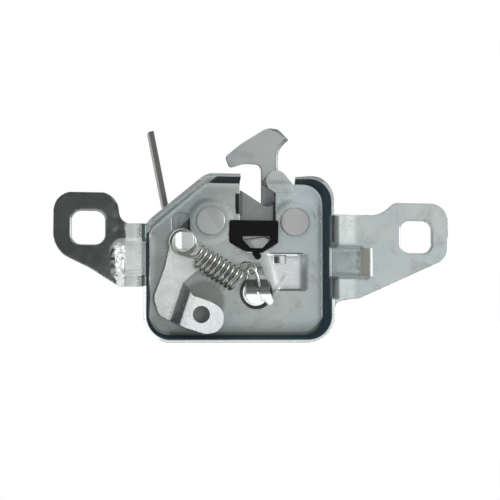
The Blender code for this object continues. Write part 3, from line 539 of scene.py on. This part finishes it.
def tumbled(piece, edge):
    """Rounds the cut edges and keeps flat faces flat."""
    mesh = bmesh.new()
    mesh.from_mesh(piece.data)
    bmesh.ops.remove_doubles(mesh, verts=mesh.verts, dist=0.00003)
    bmesh.ops.dissolve_degenerate(mesh, edges=mesh.edges, dist=0.00001)
    mesh.to_mesh(piece.data)
    mesh.free()
    piece.data.shade_smooth()
    rounding = piece.modifiers.new("edges", "BEVEL")
    rounding.limit_method = "ANGLE"
    rounding.angle_limit = math.radians(35)
    rounding.width = edge * MM
    rounding.segments = 2
    rounding.use_clamp_overlap = False
    settled(piece)
    piece.data.shade_smooth()
    piece.data.set_sharp_from_angle(angle=math.radians(50))
    flat = piece.modifiers.new("flat", "WEIGHTED_NORMAL")
    flat.keep_sharp = True
    flat.weight = 90
    return settled(piece)


def eased(value, low, high):
    t = min(1.0, max(0.0, (value - low) / (high - low)))
    return t * t * (3 - 2 * t)


PADS = [(-20.5, 0.0), (20.5, 0.0)]
PAD_RADIUS = 10.4


def pressed(x, z):
    """How far the floor is pressed back at a point: the pocket, the rivets' pads and a crease."""
    lip = max(0.0, 1.5 - abs(x - 7.4))
    top = eased(-z - 14.8 + lip, 0.0, 0.7)
    bottom = eased(z + 33.0, 0.0, 0.7)
    side = eased(26.8 - x, 0.0, 3.0)
    near = eased(x - 5.5 - 0.28 * (-z - 15.0), -0.5, 4.5)
    depth = POCKET_DEPTH * top * bottom * side * near
    for pad_x, pad_z in PADS:
        depth -= 0.24 * eased(PAD_RADIUS + 0.6 - math.hypot(x - pad_x, z - pad_z), 0.0, 1.7)
    crease = abs((x - 13.0) * 0.81 - (z + 30.9) * 0.58)
    depth -= 0.22 * eased(0.9 - crease, 0.0, 0.9) * eased(z, -36.5, -35.0) * eased(-z, 24.5, 26.5)
    return depth


WALL_DRAFT = 1.1
FOOT_FILLET = 1.7
cup = drawn_face(RIM_CORNERS, RIM)
cup.normal_update()
floor_face = cup.faces[:][0]
toward_viewer = -floor_face.normal.y
bmesh.ops.inset_region(
    cup, faces=[floor_face], thickness=WALL_DRAFT, depth=RIM * toward_viewer, use_even_offset=True,
    use_boundary=True,
)
foot = [edge for edge in cup.edges if all(abs(v.co.y) < 0.01 for v in edge.verts)]
bmesh.ops.bevel(
    cup, geom=foot, offset=FOOT_FILLET, offset_type="OFFSET", segments=7, profile=0.5, affect="EDGES",
    material=-1, clamp_overlap=False, loop_slide=True,
)

# The floor is cut into a grid, finer at the pocket's steep ends, and each of its points is pressed.
GRID = 0.8
PRESSED_EDGES = [
    (2, z) for z in (-32.9, -32.7, -32.5, -32.35, -15.5, -15.35, -15.2, -15.05, -14.9, -14.75, -14.2, -13.8)
]
columns = [(0, -46.0 + GRID * i) for i in range(97)]
rows = [(2, -51.0 + GRID * i) for i in range(84)]
for axis, place in sorted(columns + rows + PRESSED_EDGES):
    normal = Vector((axis == 0, 0, axis == 2))
    flat = [face for face in cup.faces if all(v.co.y > -0.02 for v in face.verts)]
    edges, verts = (e for f in flat for e in f.edges), (v for f in flat for v in f.verts)
    geometry = flat + list(dict.fromkeys(edges)) + list(dict.fromkeys(verts))
    bmesh.ops.bisect_plane(cup, geom=geometry, dist=0.0001, plane_co=normal * place, plane_no=normal)
for vert in cup.verts:
    if vert.co.y > -0.02:
        vert.co.y += pressed(vert.co.x, vert.co.z)
bmesh.ops.recalc_face_normals(cup, faces=cup.faces)
tray = placed("pressed_tray", cup)
if tray.data.polygons[len(tray.data.polygons) // 2].normal.y > 0:
    tray.data.flip_normals()
skin = tray.modifiers.new("sheet", "SOLIDIFY")
skin.thickness = SHEET * MM
skin.offset = -1
skin.use_even_offset = True
settled(tray)


def eased_path(corners, step, fine_until=None):
    """Points along a path through corners (a, y) or (a, y, radius), the bends rounded."""
    line = []
    for i, corner in enumerate(corners):
        here = Vector(corner[:2])
        if len(corner) < 3:
            line.append(here)
            continue
        before = (Vector(corners[i - 1][:2]) - here).normalized()
        after = (Vector(corners[i + 1][:2]) - here).normalized()
        reach = corner[2] / math.tan(before.angle(after) / 2)
        for k in range(9):
            t = k / 8
            line.append(here + before * reach * (1 - t) ** 2 + after * reach * t * t)
    points = [line[0]]
    for start, end in zip(line, line[1:]):
        fine = fine_until is None or abs(start.x) < fine_until
        pieces = max(1, math.ceil((end - start).length / (step if fine else 6.0)))
        points += [start.lerp(end, k / pieces) for k in range(1, pieces + 1)]
    return points


def bent_strip(path, low, high, step=1.0):
    """A strip of sheet that follows a path (x, y) and runs along Z from low to high."""
    mesh = bmesh.new()
    line = [mesh.verts.new((x, y, low)) for x, y in path]
    edges = [mesh.edges.new(pair) for pair in zip(line, line[1:])]
    rows = round((high - low) / step)
    for _ in range(rows):
        made = bmesh.ops.extrude_edge_only(mesh, edges=edges)["geom"]
        moved = [part for part in made if isinstance(part, bmesh.types.BMVert)]
        edges = [e for e in made if isinstance(e, bmesh.types.BMEdge) and all(v in moved for v in e.verts)]
        bmesh.ops.translate(mesh, verts=moved, vec=(0, 0, (high - low) / rows))
    return mesh


def thickened(mesh, thickness):
    """Gives an open sheet its thickness, toward the back."""
    bmesh.ops.recalc_face_normals(mesh, faces=mesh.faces)
    if sum(face.normal.y * face.calc_area() for face in mesh.faces) > 0:
        bmesh.ops.reverse_faces(mesh, faces=mesh.faces)
    bmesh.ops.solidify(mesh, geom=mesh.faces[:], thickness=thickness)
    bmesh.ops.recalc_face_normals(mesh, faces=mesh.faces)
    return mesh


EAR_FACE = -9.0
SKIN = 0.05
BOLT_HALF = 7.7
BOLT_CORNER = 4.5


def bolt_hole(x, z):
    """The square hole of an ear and the chamfer at its front."""
    turns = ((-1, -1), (1, -1), (1, 1), (-1, 1))
    corners = [(x + a * BOLT_HALF, z + b * BOLT_HALF, BOLT_CORNER) for a, b in turns]
    chamfer = blank(corners, -11.5, EAR_FACE + 1.0)
    for vert in chamfer.verts:
        spread = 1.36 if vert.co.y < EAR_FACE else 0.97
        vert.co.x = x + (vert.co.x - x) * spread
        vert.co.z = z + (vert.co.z - z) * spread
    return blank(corners, -22, 5), chamfer


def ear(outline, hole, dart_z, dart_end, crumple, mirrored):
    """A strap bent out of the rim and its bolt ear, with the dart pressed across both bends."""
    strap_face = EAR_FACE + SKIN
    path = eased_path(
        [(34.75, -3.0), (35.55, RIM + SKIN, 3.0), (48.5, strap_face, 8.0), (100.0, strap_face)], 0.8, 60
    )
    sheet = bent_strip(path, -44.0, 12.0, 0.9)
    for vert in sheet.verts:
        x, y, z = vert.co
        across = eased(8.2 - abs(z - dart_z), 0.0, 2.2)
        along = 1.0 - eased(x, dart_end - 5.0, dart_end)
        dart_floor = EAR_FACE + 4.2 - 0.06 * (x - 36.0)
        vert.co.y += across * along * max(0.0, dart_floor - y)
        band = across * eased(x, dart_end - 6.0, dart_end - 4.5) * (1.0 - eased(x, dart_end, dart_end + 1.5))
        vert.co.y += crumple * band * noise.noise(Vector((x * 0.9, 0.0, z * 0.75)))
        vert.co.y += 0.04 * eased(x, 44.0, 47.0) * (1.0 - eased(x, 49.0, 52.0)) * math.sin(z * 0.9 + 0.4)
    thickened(sheet, SHEET - 2 * SKIN)
    if mirrored:
        mirror = Matrix.Translation((2 * CUP_MIDDLE[0], 0, 0)) @ Matrix.Scale(-1, 4, (1, 0, 0))
        bmesh.ops.transform(sheet, matrix=mirror, verts=sheet.verts)
        bmesh.ops.recalc_face_normals(sheet, faces=sheet.faces)
    piece = placed("ear", sheet)
    punched(piece, "INTERSECT", blank(outline, -22, 12))
    return punched(piece, "DIFFERENCE", *bolt_hole(*hole))


LEFT_DART, RIGHT_DART = -18.5, -19.5
left_ear = ear(
    [
        (-48.5, -2.4), (-63.6, -2.4, 5), (-65.6, 12.2, 9), (-94.6, 12.2, 9), (-94.6, -15.0, 12),
        (-77.6, -23.2, 30), (-64.0, -31.8, 4), (-48.5, -31.8),
    ],
    (-78.5, -4.4), LEFT_DART, 50.6, 0.8, True,
)
right_ear = ear(
    [
        (32.7, 3.1), (60.5, 3.1, 12), (67.8, 9.2, 4), (95.2, 9.2, 9), (94.0, -17.5, 8), (50.0, -36.9, 6),
        (44.3, -37.4), (38.4, -38.6, 3), (37.4, -42.5), (32.7, -42.5),
    ],
    (78.5, -7.1), RIGHT_DART, 55.5, 0.3, False,
)

# The wall is cut where the straps and their darts leave it, and open from the throat to the horn.
DART_HALF = 7.6
GAP_FLOOR = 14.53
punched(
    tray, "DIFFERENCE",
    block(-55, -50.9, -14, -7.0, LEFT_DART - DART_HALF, LEFT_DART + DART_HALF),
    block(35.1, 39.5, -14, -7.0, RIGHT_DART - DART_HALF, RIGHT_DART + DART_HALF),
    block(-58, -49.2, -20, -8.2, -31.4, -2.8),
    block(33.4, 42.4, -20, -8.2, -36.3, 2.7),
)
wall_gap = prism(
    [
        (-6.35, 5), (-6.35, 0.13), (-8.6, -20), (31.3, -20),
        (31.3, -12.1), (19.6, -6.3), (20.7, 0.5), (20.7, 5),
    ],
    GAP_FLOOR, 40,
)
tongue_path = eased_path([(17.5, 0.06), (20.5, 0.06, 4), (28.6, -7.6, 3), (32.0, -8.6, 3), (40.5, -6.2)], 0.8)
lance = thickened(bent_strip(tongue_path, -10.0, 10.0, 0.9), 1.9)
bmesh.ops.transform(lance, matrix=Matrix.Rotation(math.radians(90), 4, "Y"), verts=lance.verts)
tongue = punched(
    placed("tongue", lance), "INTERSECT",
    blank(
        [
            (-2.4, -18.5), (-2.8, -26.5, 3), (-4.8, -30.2, 2), (-5.2, -35.4, 3), (-2.4, -39.4, 2),
            (2.8, -39.9, 1), (4.2, -37.6), (7.4, -41.0, 1.5), (9.0, -38.4, 1.5), (6.9, -33.6, 2),
            (6.9, -30.5, 2), (4.8, -26.5, 3), (3.9, -18.5),
        ],
        -20, 10,
    ),
)
tongue_slit = blank([(0.6, -34.0, 0.4), (1.7, -33.7, 0.4), (4.9, -42.0), (3.4, -42.0)], -20, -3)
punched(tongue, "DIFFERENCE", tongue_slit)
punched(
    tray, "DIFFERENCE",
    wall_gap,
    disc(*TONGUE_HOLE, 7.9, -0.6, 1.2, 6.1),
    disc(*TONGUE_HOLE, 6.2, -4, 6),
    blank([(-2.3, -21.5), (-3.1, -30.5), (6.6, -30.5), (4.4, -21.5)], -4, 6),
)

# The throat, and the notch left of it in which the claw's dark flank shows.
punched(tray, "DIFFERENCE", block(-6.3, 11.1, -20, 5, -0.53, 40), block(-8.3, -6.1, -4, 5, 3.6, 13.3))
horn = [
    (12.6, 11.6), (11.25, 13.9), (7.6, 16.2, 1.5), (5.9, 20.4, 3.5), (9.2, 25.4, 3.8), (14.6, 24.6, 4.5),
    (20.0, 18.0), (23.0, 15.2), (23.0, 11.6),
]
buffer_window = [
    (-11.3, 0.4, 0.8), (12.3, 0.4, 0.8), (12.3, -10.0, 2),
    (4.6, -14.9, 2), (-2.8, -14.9, 2), (-11.3, -10.0, 2),
]
post_slot = [
    (-38.9, -18.0, 3.5), (-27.3, -18.0, 3.5), (-30.3, -3.2, 3.5), (-30.3, 4.0, 3.5), (-38.9, 4.0, 3.5),
]
RIVET_HOLE = 4.3
punched(
    tray, "DIFFERENCE",
    blank(buffer_window, -5, 5),
    blank(post_slot, -5, 5),
    block(13.4 - 2.7, 13.4 + 2.7, -2, 6, -18.1 - 2.1, -18.1 + 2.1),
    *(disc(x, z, RIVET_HOLE, -5, 5) for x, z in PADS),
)
for shell in (tongue, placed("horn", blank(horn, 0.05, SHEET - 0.05)), left_ear, right_ear):
    joined(tray, shell)
tumbled(tray, 0.22)
for vert in tray.data.vertices:
    vert.co.y = min(vert.co.y, TRAY_FACE + (POCKET_DEPTH + SHEET) * MM)
tray.data.materials.append(tray_zinc)
tray.data.materials.append(sheared_steel)
lower_left, right_end = spot(-46, -0.1, -48), spot(31, 0, 0).x
for face in tray.data.polygons:
    middle = face.center
    punched_edge = abs(face.normal.y) < 0.5 and middle.y > lower_left.y
    if punched_edge and lower_left.x < middle.x < right_end and middle.z > lower_left.z:
        face.material_index = 1
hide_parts("latch_plate")
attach(tray, "housing")


# Back plate: a flat pressing behind the claw and the pawl, in the same zinc-plated sheet as the tray.
# Blanked with its own throat and folded once, with a leg staked in the tray's pocket. Only the solid's
# edges are rounded.


def dressed(node, look, edge=0.25, shape=None, edge_look=None):
    """A copy of a node's solid with its faces merged and its edges rounded as tumbling leaves them."""
    source = frame["nodes"][node]
    mesh = bmesh.new()
    mesh.from_mesh(source.data)
    bmesh.ops.remove_doubles(mesh, verts=mesh.verts, dist=0.000002)
    bmesh.ops.dissolve_limit(
        mesh, angle_limit=math.radians(0.6), verts=mesh.verts, edges=mesh.edges, delimit={"NORMAL"}
    )
    if shape:
        shape(mesh)
    sheared(mesh)
    data = bpy.data.meshes.new(node + "_dressed")
    mesh.to_mesh(data)
    mesh.free()
    piece = bpy.data.objects.new(node + "_dressed", data)
    scene.collection.objects.link(piece)
    data.materials.append(look)
    data.materials.append(edge_look or look)
    data.shade_smooth()
    data.set_sharp_from_angle(angle=math.radians(32))
    rounding = piece.modifiers.new("edges", "BEVEL")
    rounding.limit_method = "ANGLE"
    rounding.angle_limit = math.radians(32)
    rounding.width = edge * MM
    rounding.segments = 2
    rounding.use_clamp_overlap = True
    rounding.material = 1 if edge_look else -1
    flat = piece.modifiers.new("flat", "WEIGHTED_NORMAL")
    flat.keep_sharp = True
    flat.weight = 80
    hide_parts(node)
    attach(piece, source["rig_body"])
    return piece


def staked(nodes, place):
    """Painted shade behind the post's slot and on the stake's upper left, and painted light in the
    buffer's window.
    """
    split = nodes.add("ShaderNodeSeparateXYZ", inputs={0: place}).socket.node
    x, z = (Link(nodes, split.outputs[axis]) for axis in (0, 2))
    at_slot = (0.0525 - x).between(0.0, 0.001)
    # Painted shade on the stake's upper left.
    stake_shade = (x - 0.0885).between(0.0, 0.0004) * (0.0926 - x).between(0.0, 0.0018)
    stake_shade = stake_shade * (z + 0.0281).between(0.0, 0.0018) * (-0.0230 - z).between(0.0, 0.0006)
    at_window = (x - 0.066).between(0.0, 0.001) * (0.088 - x).between(0.0, 0.001)
    at_window = at_window * (z + 0.0195).between(0.0, 0.001) * (-0.0130 - z).between(0.0, 0.001)
    return (
        (at_slot, (0.52, 0.59, 0.60), 0.0, 0.8),
        (stake_shade, (0.10, 0.10, 0.11), 0.1, 0.7),
        (at_window, (0.97, 0.98, 0.97), 0.1, 0.1),
    )


# The back plate's zinc, with its masks of painted light and shade.
back_zinc = metal(
    "back_zinc", (0.68, 0.71, 0.70), 0.34, (0.15, 1.0, 1.0), ((0.64, 0.68, 0.69), (0.72, 0.74, 0.71)),
    drawn=staked, dusty=0.5,
)
dressed("back_plate", back_zinc, 0.3)


# Striker buffer: a moulded black rubber block pushed through the window of the tray, with the tail
# that it was pulled in by. Dull, with moulding grain.

rubber = bpy.data.materials.new("moulded_rubber")
rubber.use_nodes = True
rubber_shader = rubber.node_tree.nodes["Principled BSDF"]
rubber_shader.inputs["Specular IOR Level"].default_value = 0.1
rubber_nodes = Nodes(rubber.node_tree)
rubber_place = rubber_nodes.add("ShaderNodeTexCoord", output="Object")
rubber_speck = rubber_nodes.add(
    "ShaderNodeTexNoise", inputs={"Vector": rubber_place, "Scale": 1500.0, "Detail": 3.0}
)
rubber_nodes.set(
    rubber_shader.inputs["Base Color"],
    rubber_nodes.mix(rubber_speck.between(0.4, 0.7), (0.003, 0.003, 0.003), (0.008, 0.008, 0.008)),
)
rubber_nodes.set(rubber_shader.inputs["Roughness"], 0.5 + rubber_speck * 0.2)
dressed("striker_buffer", rubber, 0.45)


# Pivot rivets: turned steel heads, coined flat on the tray, with a rounded rim.

rivet_zinc = metal(
    "rivet_zinc", (0.52, 0.52, 0.51), 0.36, tints=((0.51, 0.50, 0.50), (0.50, 0.53, 0.51)),
    bump=0.000003, dusty=0.3,
)
for node in ("claw_rivet", "hook_rivet"):
    dressed(node, rivet_zinc, 0.45)


# Sleeves and washers on the rivets: bright plated turned rings, hardly seen between the plates.

ring_zinc = metal("ring_zinc", (0.72, 0.74, 0.74), 0.28)
for node in ("claw_sleeve", "pawl_sleeve", "hook_sleeve", "claw_washer", "pawl_washer", "hook_washer"):
    dressed(node, ring_zinc, 0.15)


# Claw: the rotary catch, stamped from thick zinc-plated plate, dull at its sheared edges. The flank
# beside the throat is coined to a slope, which lies in shade, and painted shade darkens it to a dark bar
# along the throat's left side.


def in_shadow(nodes, place):
    """Painted shade on the dull strips beside the throat, which the tray's edges shade, and painted light
    on the foot.
    """
    split = nodes.add("ShaderNodeSeparateXYZ", inputs={0: place}).socket.node
    x, z = (Link(nodes, split.outputs[axis]) for axis in (0, 2))
    left_edge, right_edge, foot_top = 0.0727, 0.0888, -0.0130
    return (
        ((left_edge - x).between(0.0, 0.0003), (0.02, 0.025, 0.025), 0.3, 0.2),
        ((x - right_edge).between(0.0, 0.0005), (0.02, 0.025, 0.025), 0.3, 0.2),
        ((foot_top - z).between(0.0, 0.0010), (0.62, 0.63, 0.62), 0.0, 0.6),
    )


claw_zinc = metal(
    "claw_zinc", (0.30, 0.31, 0.30), 0.34, (1.0, 1.0, 0.15), ((0.28, 0.30, 0.30), (0.32, 0.33, 0.32)),
    drawn=in_shadow, dusty=0.3,
)
claw = dressed("claw", claw_zinc, 0.25, edge_look=sheared_steel)
settled(claw)
punched(claw, "DIFFERENCE", prism([(-14, 2.8), (-3.6, 2.8), (-4.4, 3.78), (-6.1, 5.6), (-14, 5.6)], 2.9, 24))


# Pawl: the locking lever behind the tray, in dark hardened steel, seen at its edge in the post's slot.

pawl_steel = metal("pawl_steel", (0.22, 0.23, 0.25), 0.36, (1.0, 1.0, 0.2))
dressed("pawl", pawl_steel, 0.3)


# Lever post: a turned pin through pawl and lever. Its head has been milled with a slanted flat on
# the left, below which the spring's loops lie.


def flatted(mesh):
    """Mills the slanted flat on the head."""
    cut = bmesh.ops.bisect_plane(
        mesh, geom=mesh.verts[:] + mesh.edges[:] + mesh.faces[:], dist=0.000001, clear_outer=True,
        plane_co=spot(-36.1, -15.0, -10.4), plane_no=Vector((-0.36, -0.93, 0.0)),
    )
    rim = [part for part in cut["geom_cut"] if isinstance(part, bmesh.types.BMEdge)]
    bmesh.ops.holes_fill(mesh, edges=rim, sides=0)


def milled(nodes, place):
    """The milled flat on the left of the head, painted brighter than the rest: a painted highlight."""
    x = Link(nodes, nodes.add("ShaderNodeSeparateXYZ", inputs={0: place}).socket.node.outputs[0])
    return ((0.0426 - x).between(0.0, 0.0003), (0.97, 0.98, 0.96), 0.2, 0.1),


post_zinc = metal(
    "post_zinc", (0.62, 0.65, 0.63), 0.34, tints=((0.58, 0.62, 0.60), (0.66, 0.68, 0.66)),
    drawn=milled, dusty=0.3,
)
dressed("lever_post", post_zinc, 0.35, flatted)


# Release lever: folded from 2.5 mm sheet, with the cable's eye in the raised tab. Bright zinc, with
# the sheet's grain along the arm.

# The lever's sheared sides and rounded edges get this darker steel: partly the bare cut steel, partly painted
# shade, the dark outline along the lever.
lever_edge = metal("lever_edge", (0.30, 0.31, 0.31), 0.45)


def folded(nodes, place):
    """The riser between the arm and the raised tab, which lies in shade, painted dark: painted shade."""
    y = Link(nodes, nodes.add("ShaderNodeSeparateXYZ", inputs={0: place}).socket.node.outputs[1])
    return (y.between(-0.0036, -0.0026) * (1 - y.between(0.0026, 0.0038)), (0.30, 0.33, 0.32), -0.02, 0.9),


lever_zinc = metal(
    "lever_zinc", (0.80, 0.82, 0.82), 0.28, (1.0, 1.0, 0.4), ((0.78, 0.81, 0.82), (0.83, 0.83, 0.81)),
    bump=0.000003, drawn=folded, dusty=0.42,
)
dressed("release_lever", lever_zinc, 0.3, edge_look=lever_edge)


# Release spring: bright steel wire, two loops round the post, a close coil and an end that winds down
# into a hook through the tray's tongue. One wire swept along its centre line.

WIRE = 1.55
COIL_FROM = Vector((-28.3, -9.7, -17.0))
COIL_TO = Vector((-8.8, -9.7, -28.9))
COIL_RADIUS = 5.5
COIL_TURNS = 9.35
COIL_START = math.radians(250)
LOOP_TURNS = 1.85
LOOP_END = math.radians(-62)
STEPS = 14


def wire(name, points, thickness, look):
    """A round wire along points in the drawing's millimetres."""
    bend = bpy.data.curves.new(name, "CURVE")
    bend.dimensions = "3D"
    bend.resolution_u = 3
    bend.bevel_depth = thickness / 2 * MM
    bend.bevel_resolution = 3
    bend.use_fill_caps = True
    line = bend.splines.new("NURBS")
    line.points.add(len(points) - 1)
    line.order_u = 4
    line.use_endpoint_u = True
    for point, place in zip(line.points, points):
        point.co = (*spot(*place), 1.0)
    drawn = bpy.data.objects.new(name + "_line", bend)
    scene.collection.objects.link(drawn)
    mesh = bpy.data.meshes.new_from_object(drawn.evaluated_get(bpy.context.evaluated_depsgraph_get()))
    bpy.data.objects.remove(drawn)
    mesh.materials.clear()
    mesh.materials.append(look)
    mesh.shade_smooth()
    piece = bpy.data.objects.new(name, mesh)
    scene.collection.objects.link(piece)
    return piece


spring_steel = metal(
    "spring_steel", (0.66, 0.65, 0.63), 0.17, tints=((0.56, 0.55, 0.53), (0.76, 0.75, 0.72)), bump=0.000005
)
spring_line = []
for i in range(round(LOOP_TURNS * STEPS)):
    share = i / (LOOP_TURNS * STEPS)
    turn = LOOP_END - 2 * math.pi * LOOP_TURNS * (1 - share)
    radius = 4.9 + 1.3 * share
    spring_line.append((-34.3 + radius * math.cos(turn), -8.4 - 1.6 * share, -11.0 + radius * math.sin(turn)))
axis = (COIL_TO - COIL_FROM).normalized()
upward = Vector((-axis.z, 0, axis.x))
for i in range(round(COIL_TURNS * STEPS) + 1):
    turn = COIL_START + 2 * math.pi * i / STEPS
    centre = COIL_FROM.lerp(COIL_TO, i / (COIL_TURNS * STEPS))
    point = centre + upward * COIL_RADIUS * math.cos(turn)
    spring_line.append((point.x, point.y + COIL_RADIUS * math.sin(turn), point.z))
spring_line += [
    (-7.6, -9.4, -21.0), (-5.0, -9.8, -20.0), (-2.0, -10.4, -20.6), (-0.2, -10.8, -23.0),
    (-0.9, -11.0, -26.0), (-3.6, -11.2, -26.4), (-5.0, -11.2, -24.4), (-4.0, -11.3, -22.4),
    (-1.8, -11.2, -22.6), (-0.2, -10.9, -25.2), (1.0, -10.2, -28.6), (1.8, -9.2, -31.6),
    (2.1, -7.0, -32.8), (2.2, -5.2, -32.2),
]
spring = wire("release_spring_wire", spring_line, WIRE, spring_steel)
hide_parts("release_spring")
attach(spring, "housing")


# Torsion springs of the claw and the hook: the same wire, hidden between the plates.

for node in ("claw_spring", "hook_spring"):
    dressed(node, spring_steel, 0.02)


# Safety hook with its finger blade: one zinc-plated stamping, the hook's right-hand edge coined round,
# the blade folded back and painted darker and browner, as painted shade.


def coined(mesh):
    """Rounds the hook's front edges along the right, where it meets the striker."""
    edges = [
        edge for edge in mesh.edges
        if all(v.co.y < 0.0222 and v.co.x > 0.0905 and v.co.z > 0.012 for v in edge.verts)
    ]
    rounded = bmesh.ops.bevel(
        mesh, geom=edges, offset=0.0016, segments=3, profile=0.5, affect="EDGES", material=-1,
        clamp_overlap=False,
    )
    for face in rounded["faces"]:
        face.material_index = 2


def blade_shade(nodes, place):
    """The blade on the left, painted darker and browner: painted shade."""
    x = Link(nodes, nodes.add("ShaderNodeSeparateXYZ", inputs={0: place}).socket.node.outputs[0])
    return ((0.0425 - x).between(0.0, 0.002), (0.45, 0.425, 0.405), 0.02, 1.0),


hook_zinc = metal(
    "hook_zinc", (0.62, 0.65, 0.66), 0.32, (1.0, 1.0, 0.15), ((0.58, 0.62, 0.65), (0.66, 0.68, 0.67)),
    drawn=blade_shade, dusty=0.15,
)
coined_zinc = metal("coined_zinc", (0.36, 0.38, 0.38), 0.45)
safety_hook = dressed("safety_hook", hook_zinc, 0.5, coined, sheared_steel)
safety_hook.data.materials.append(coined_zinc)
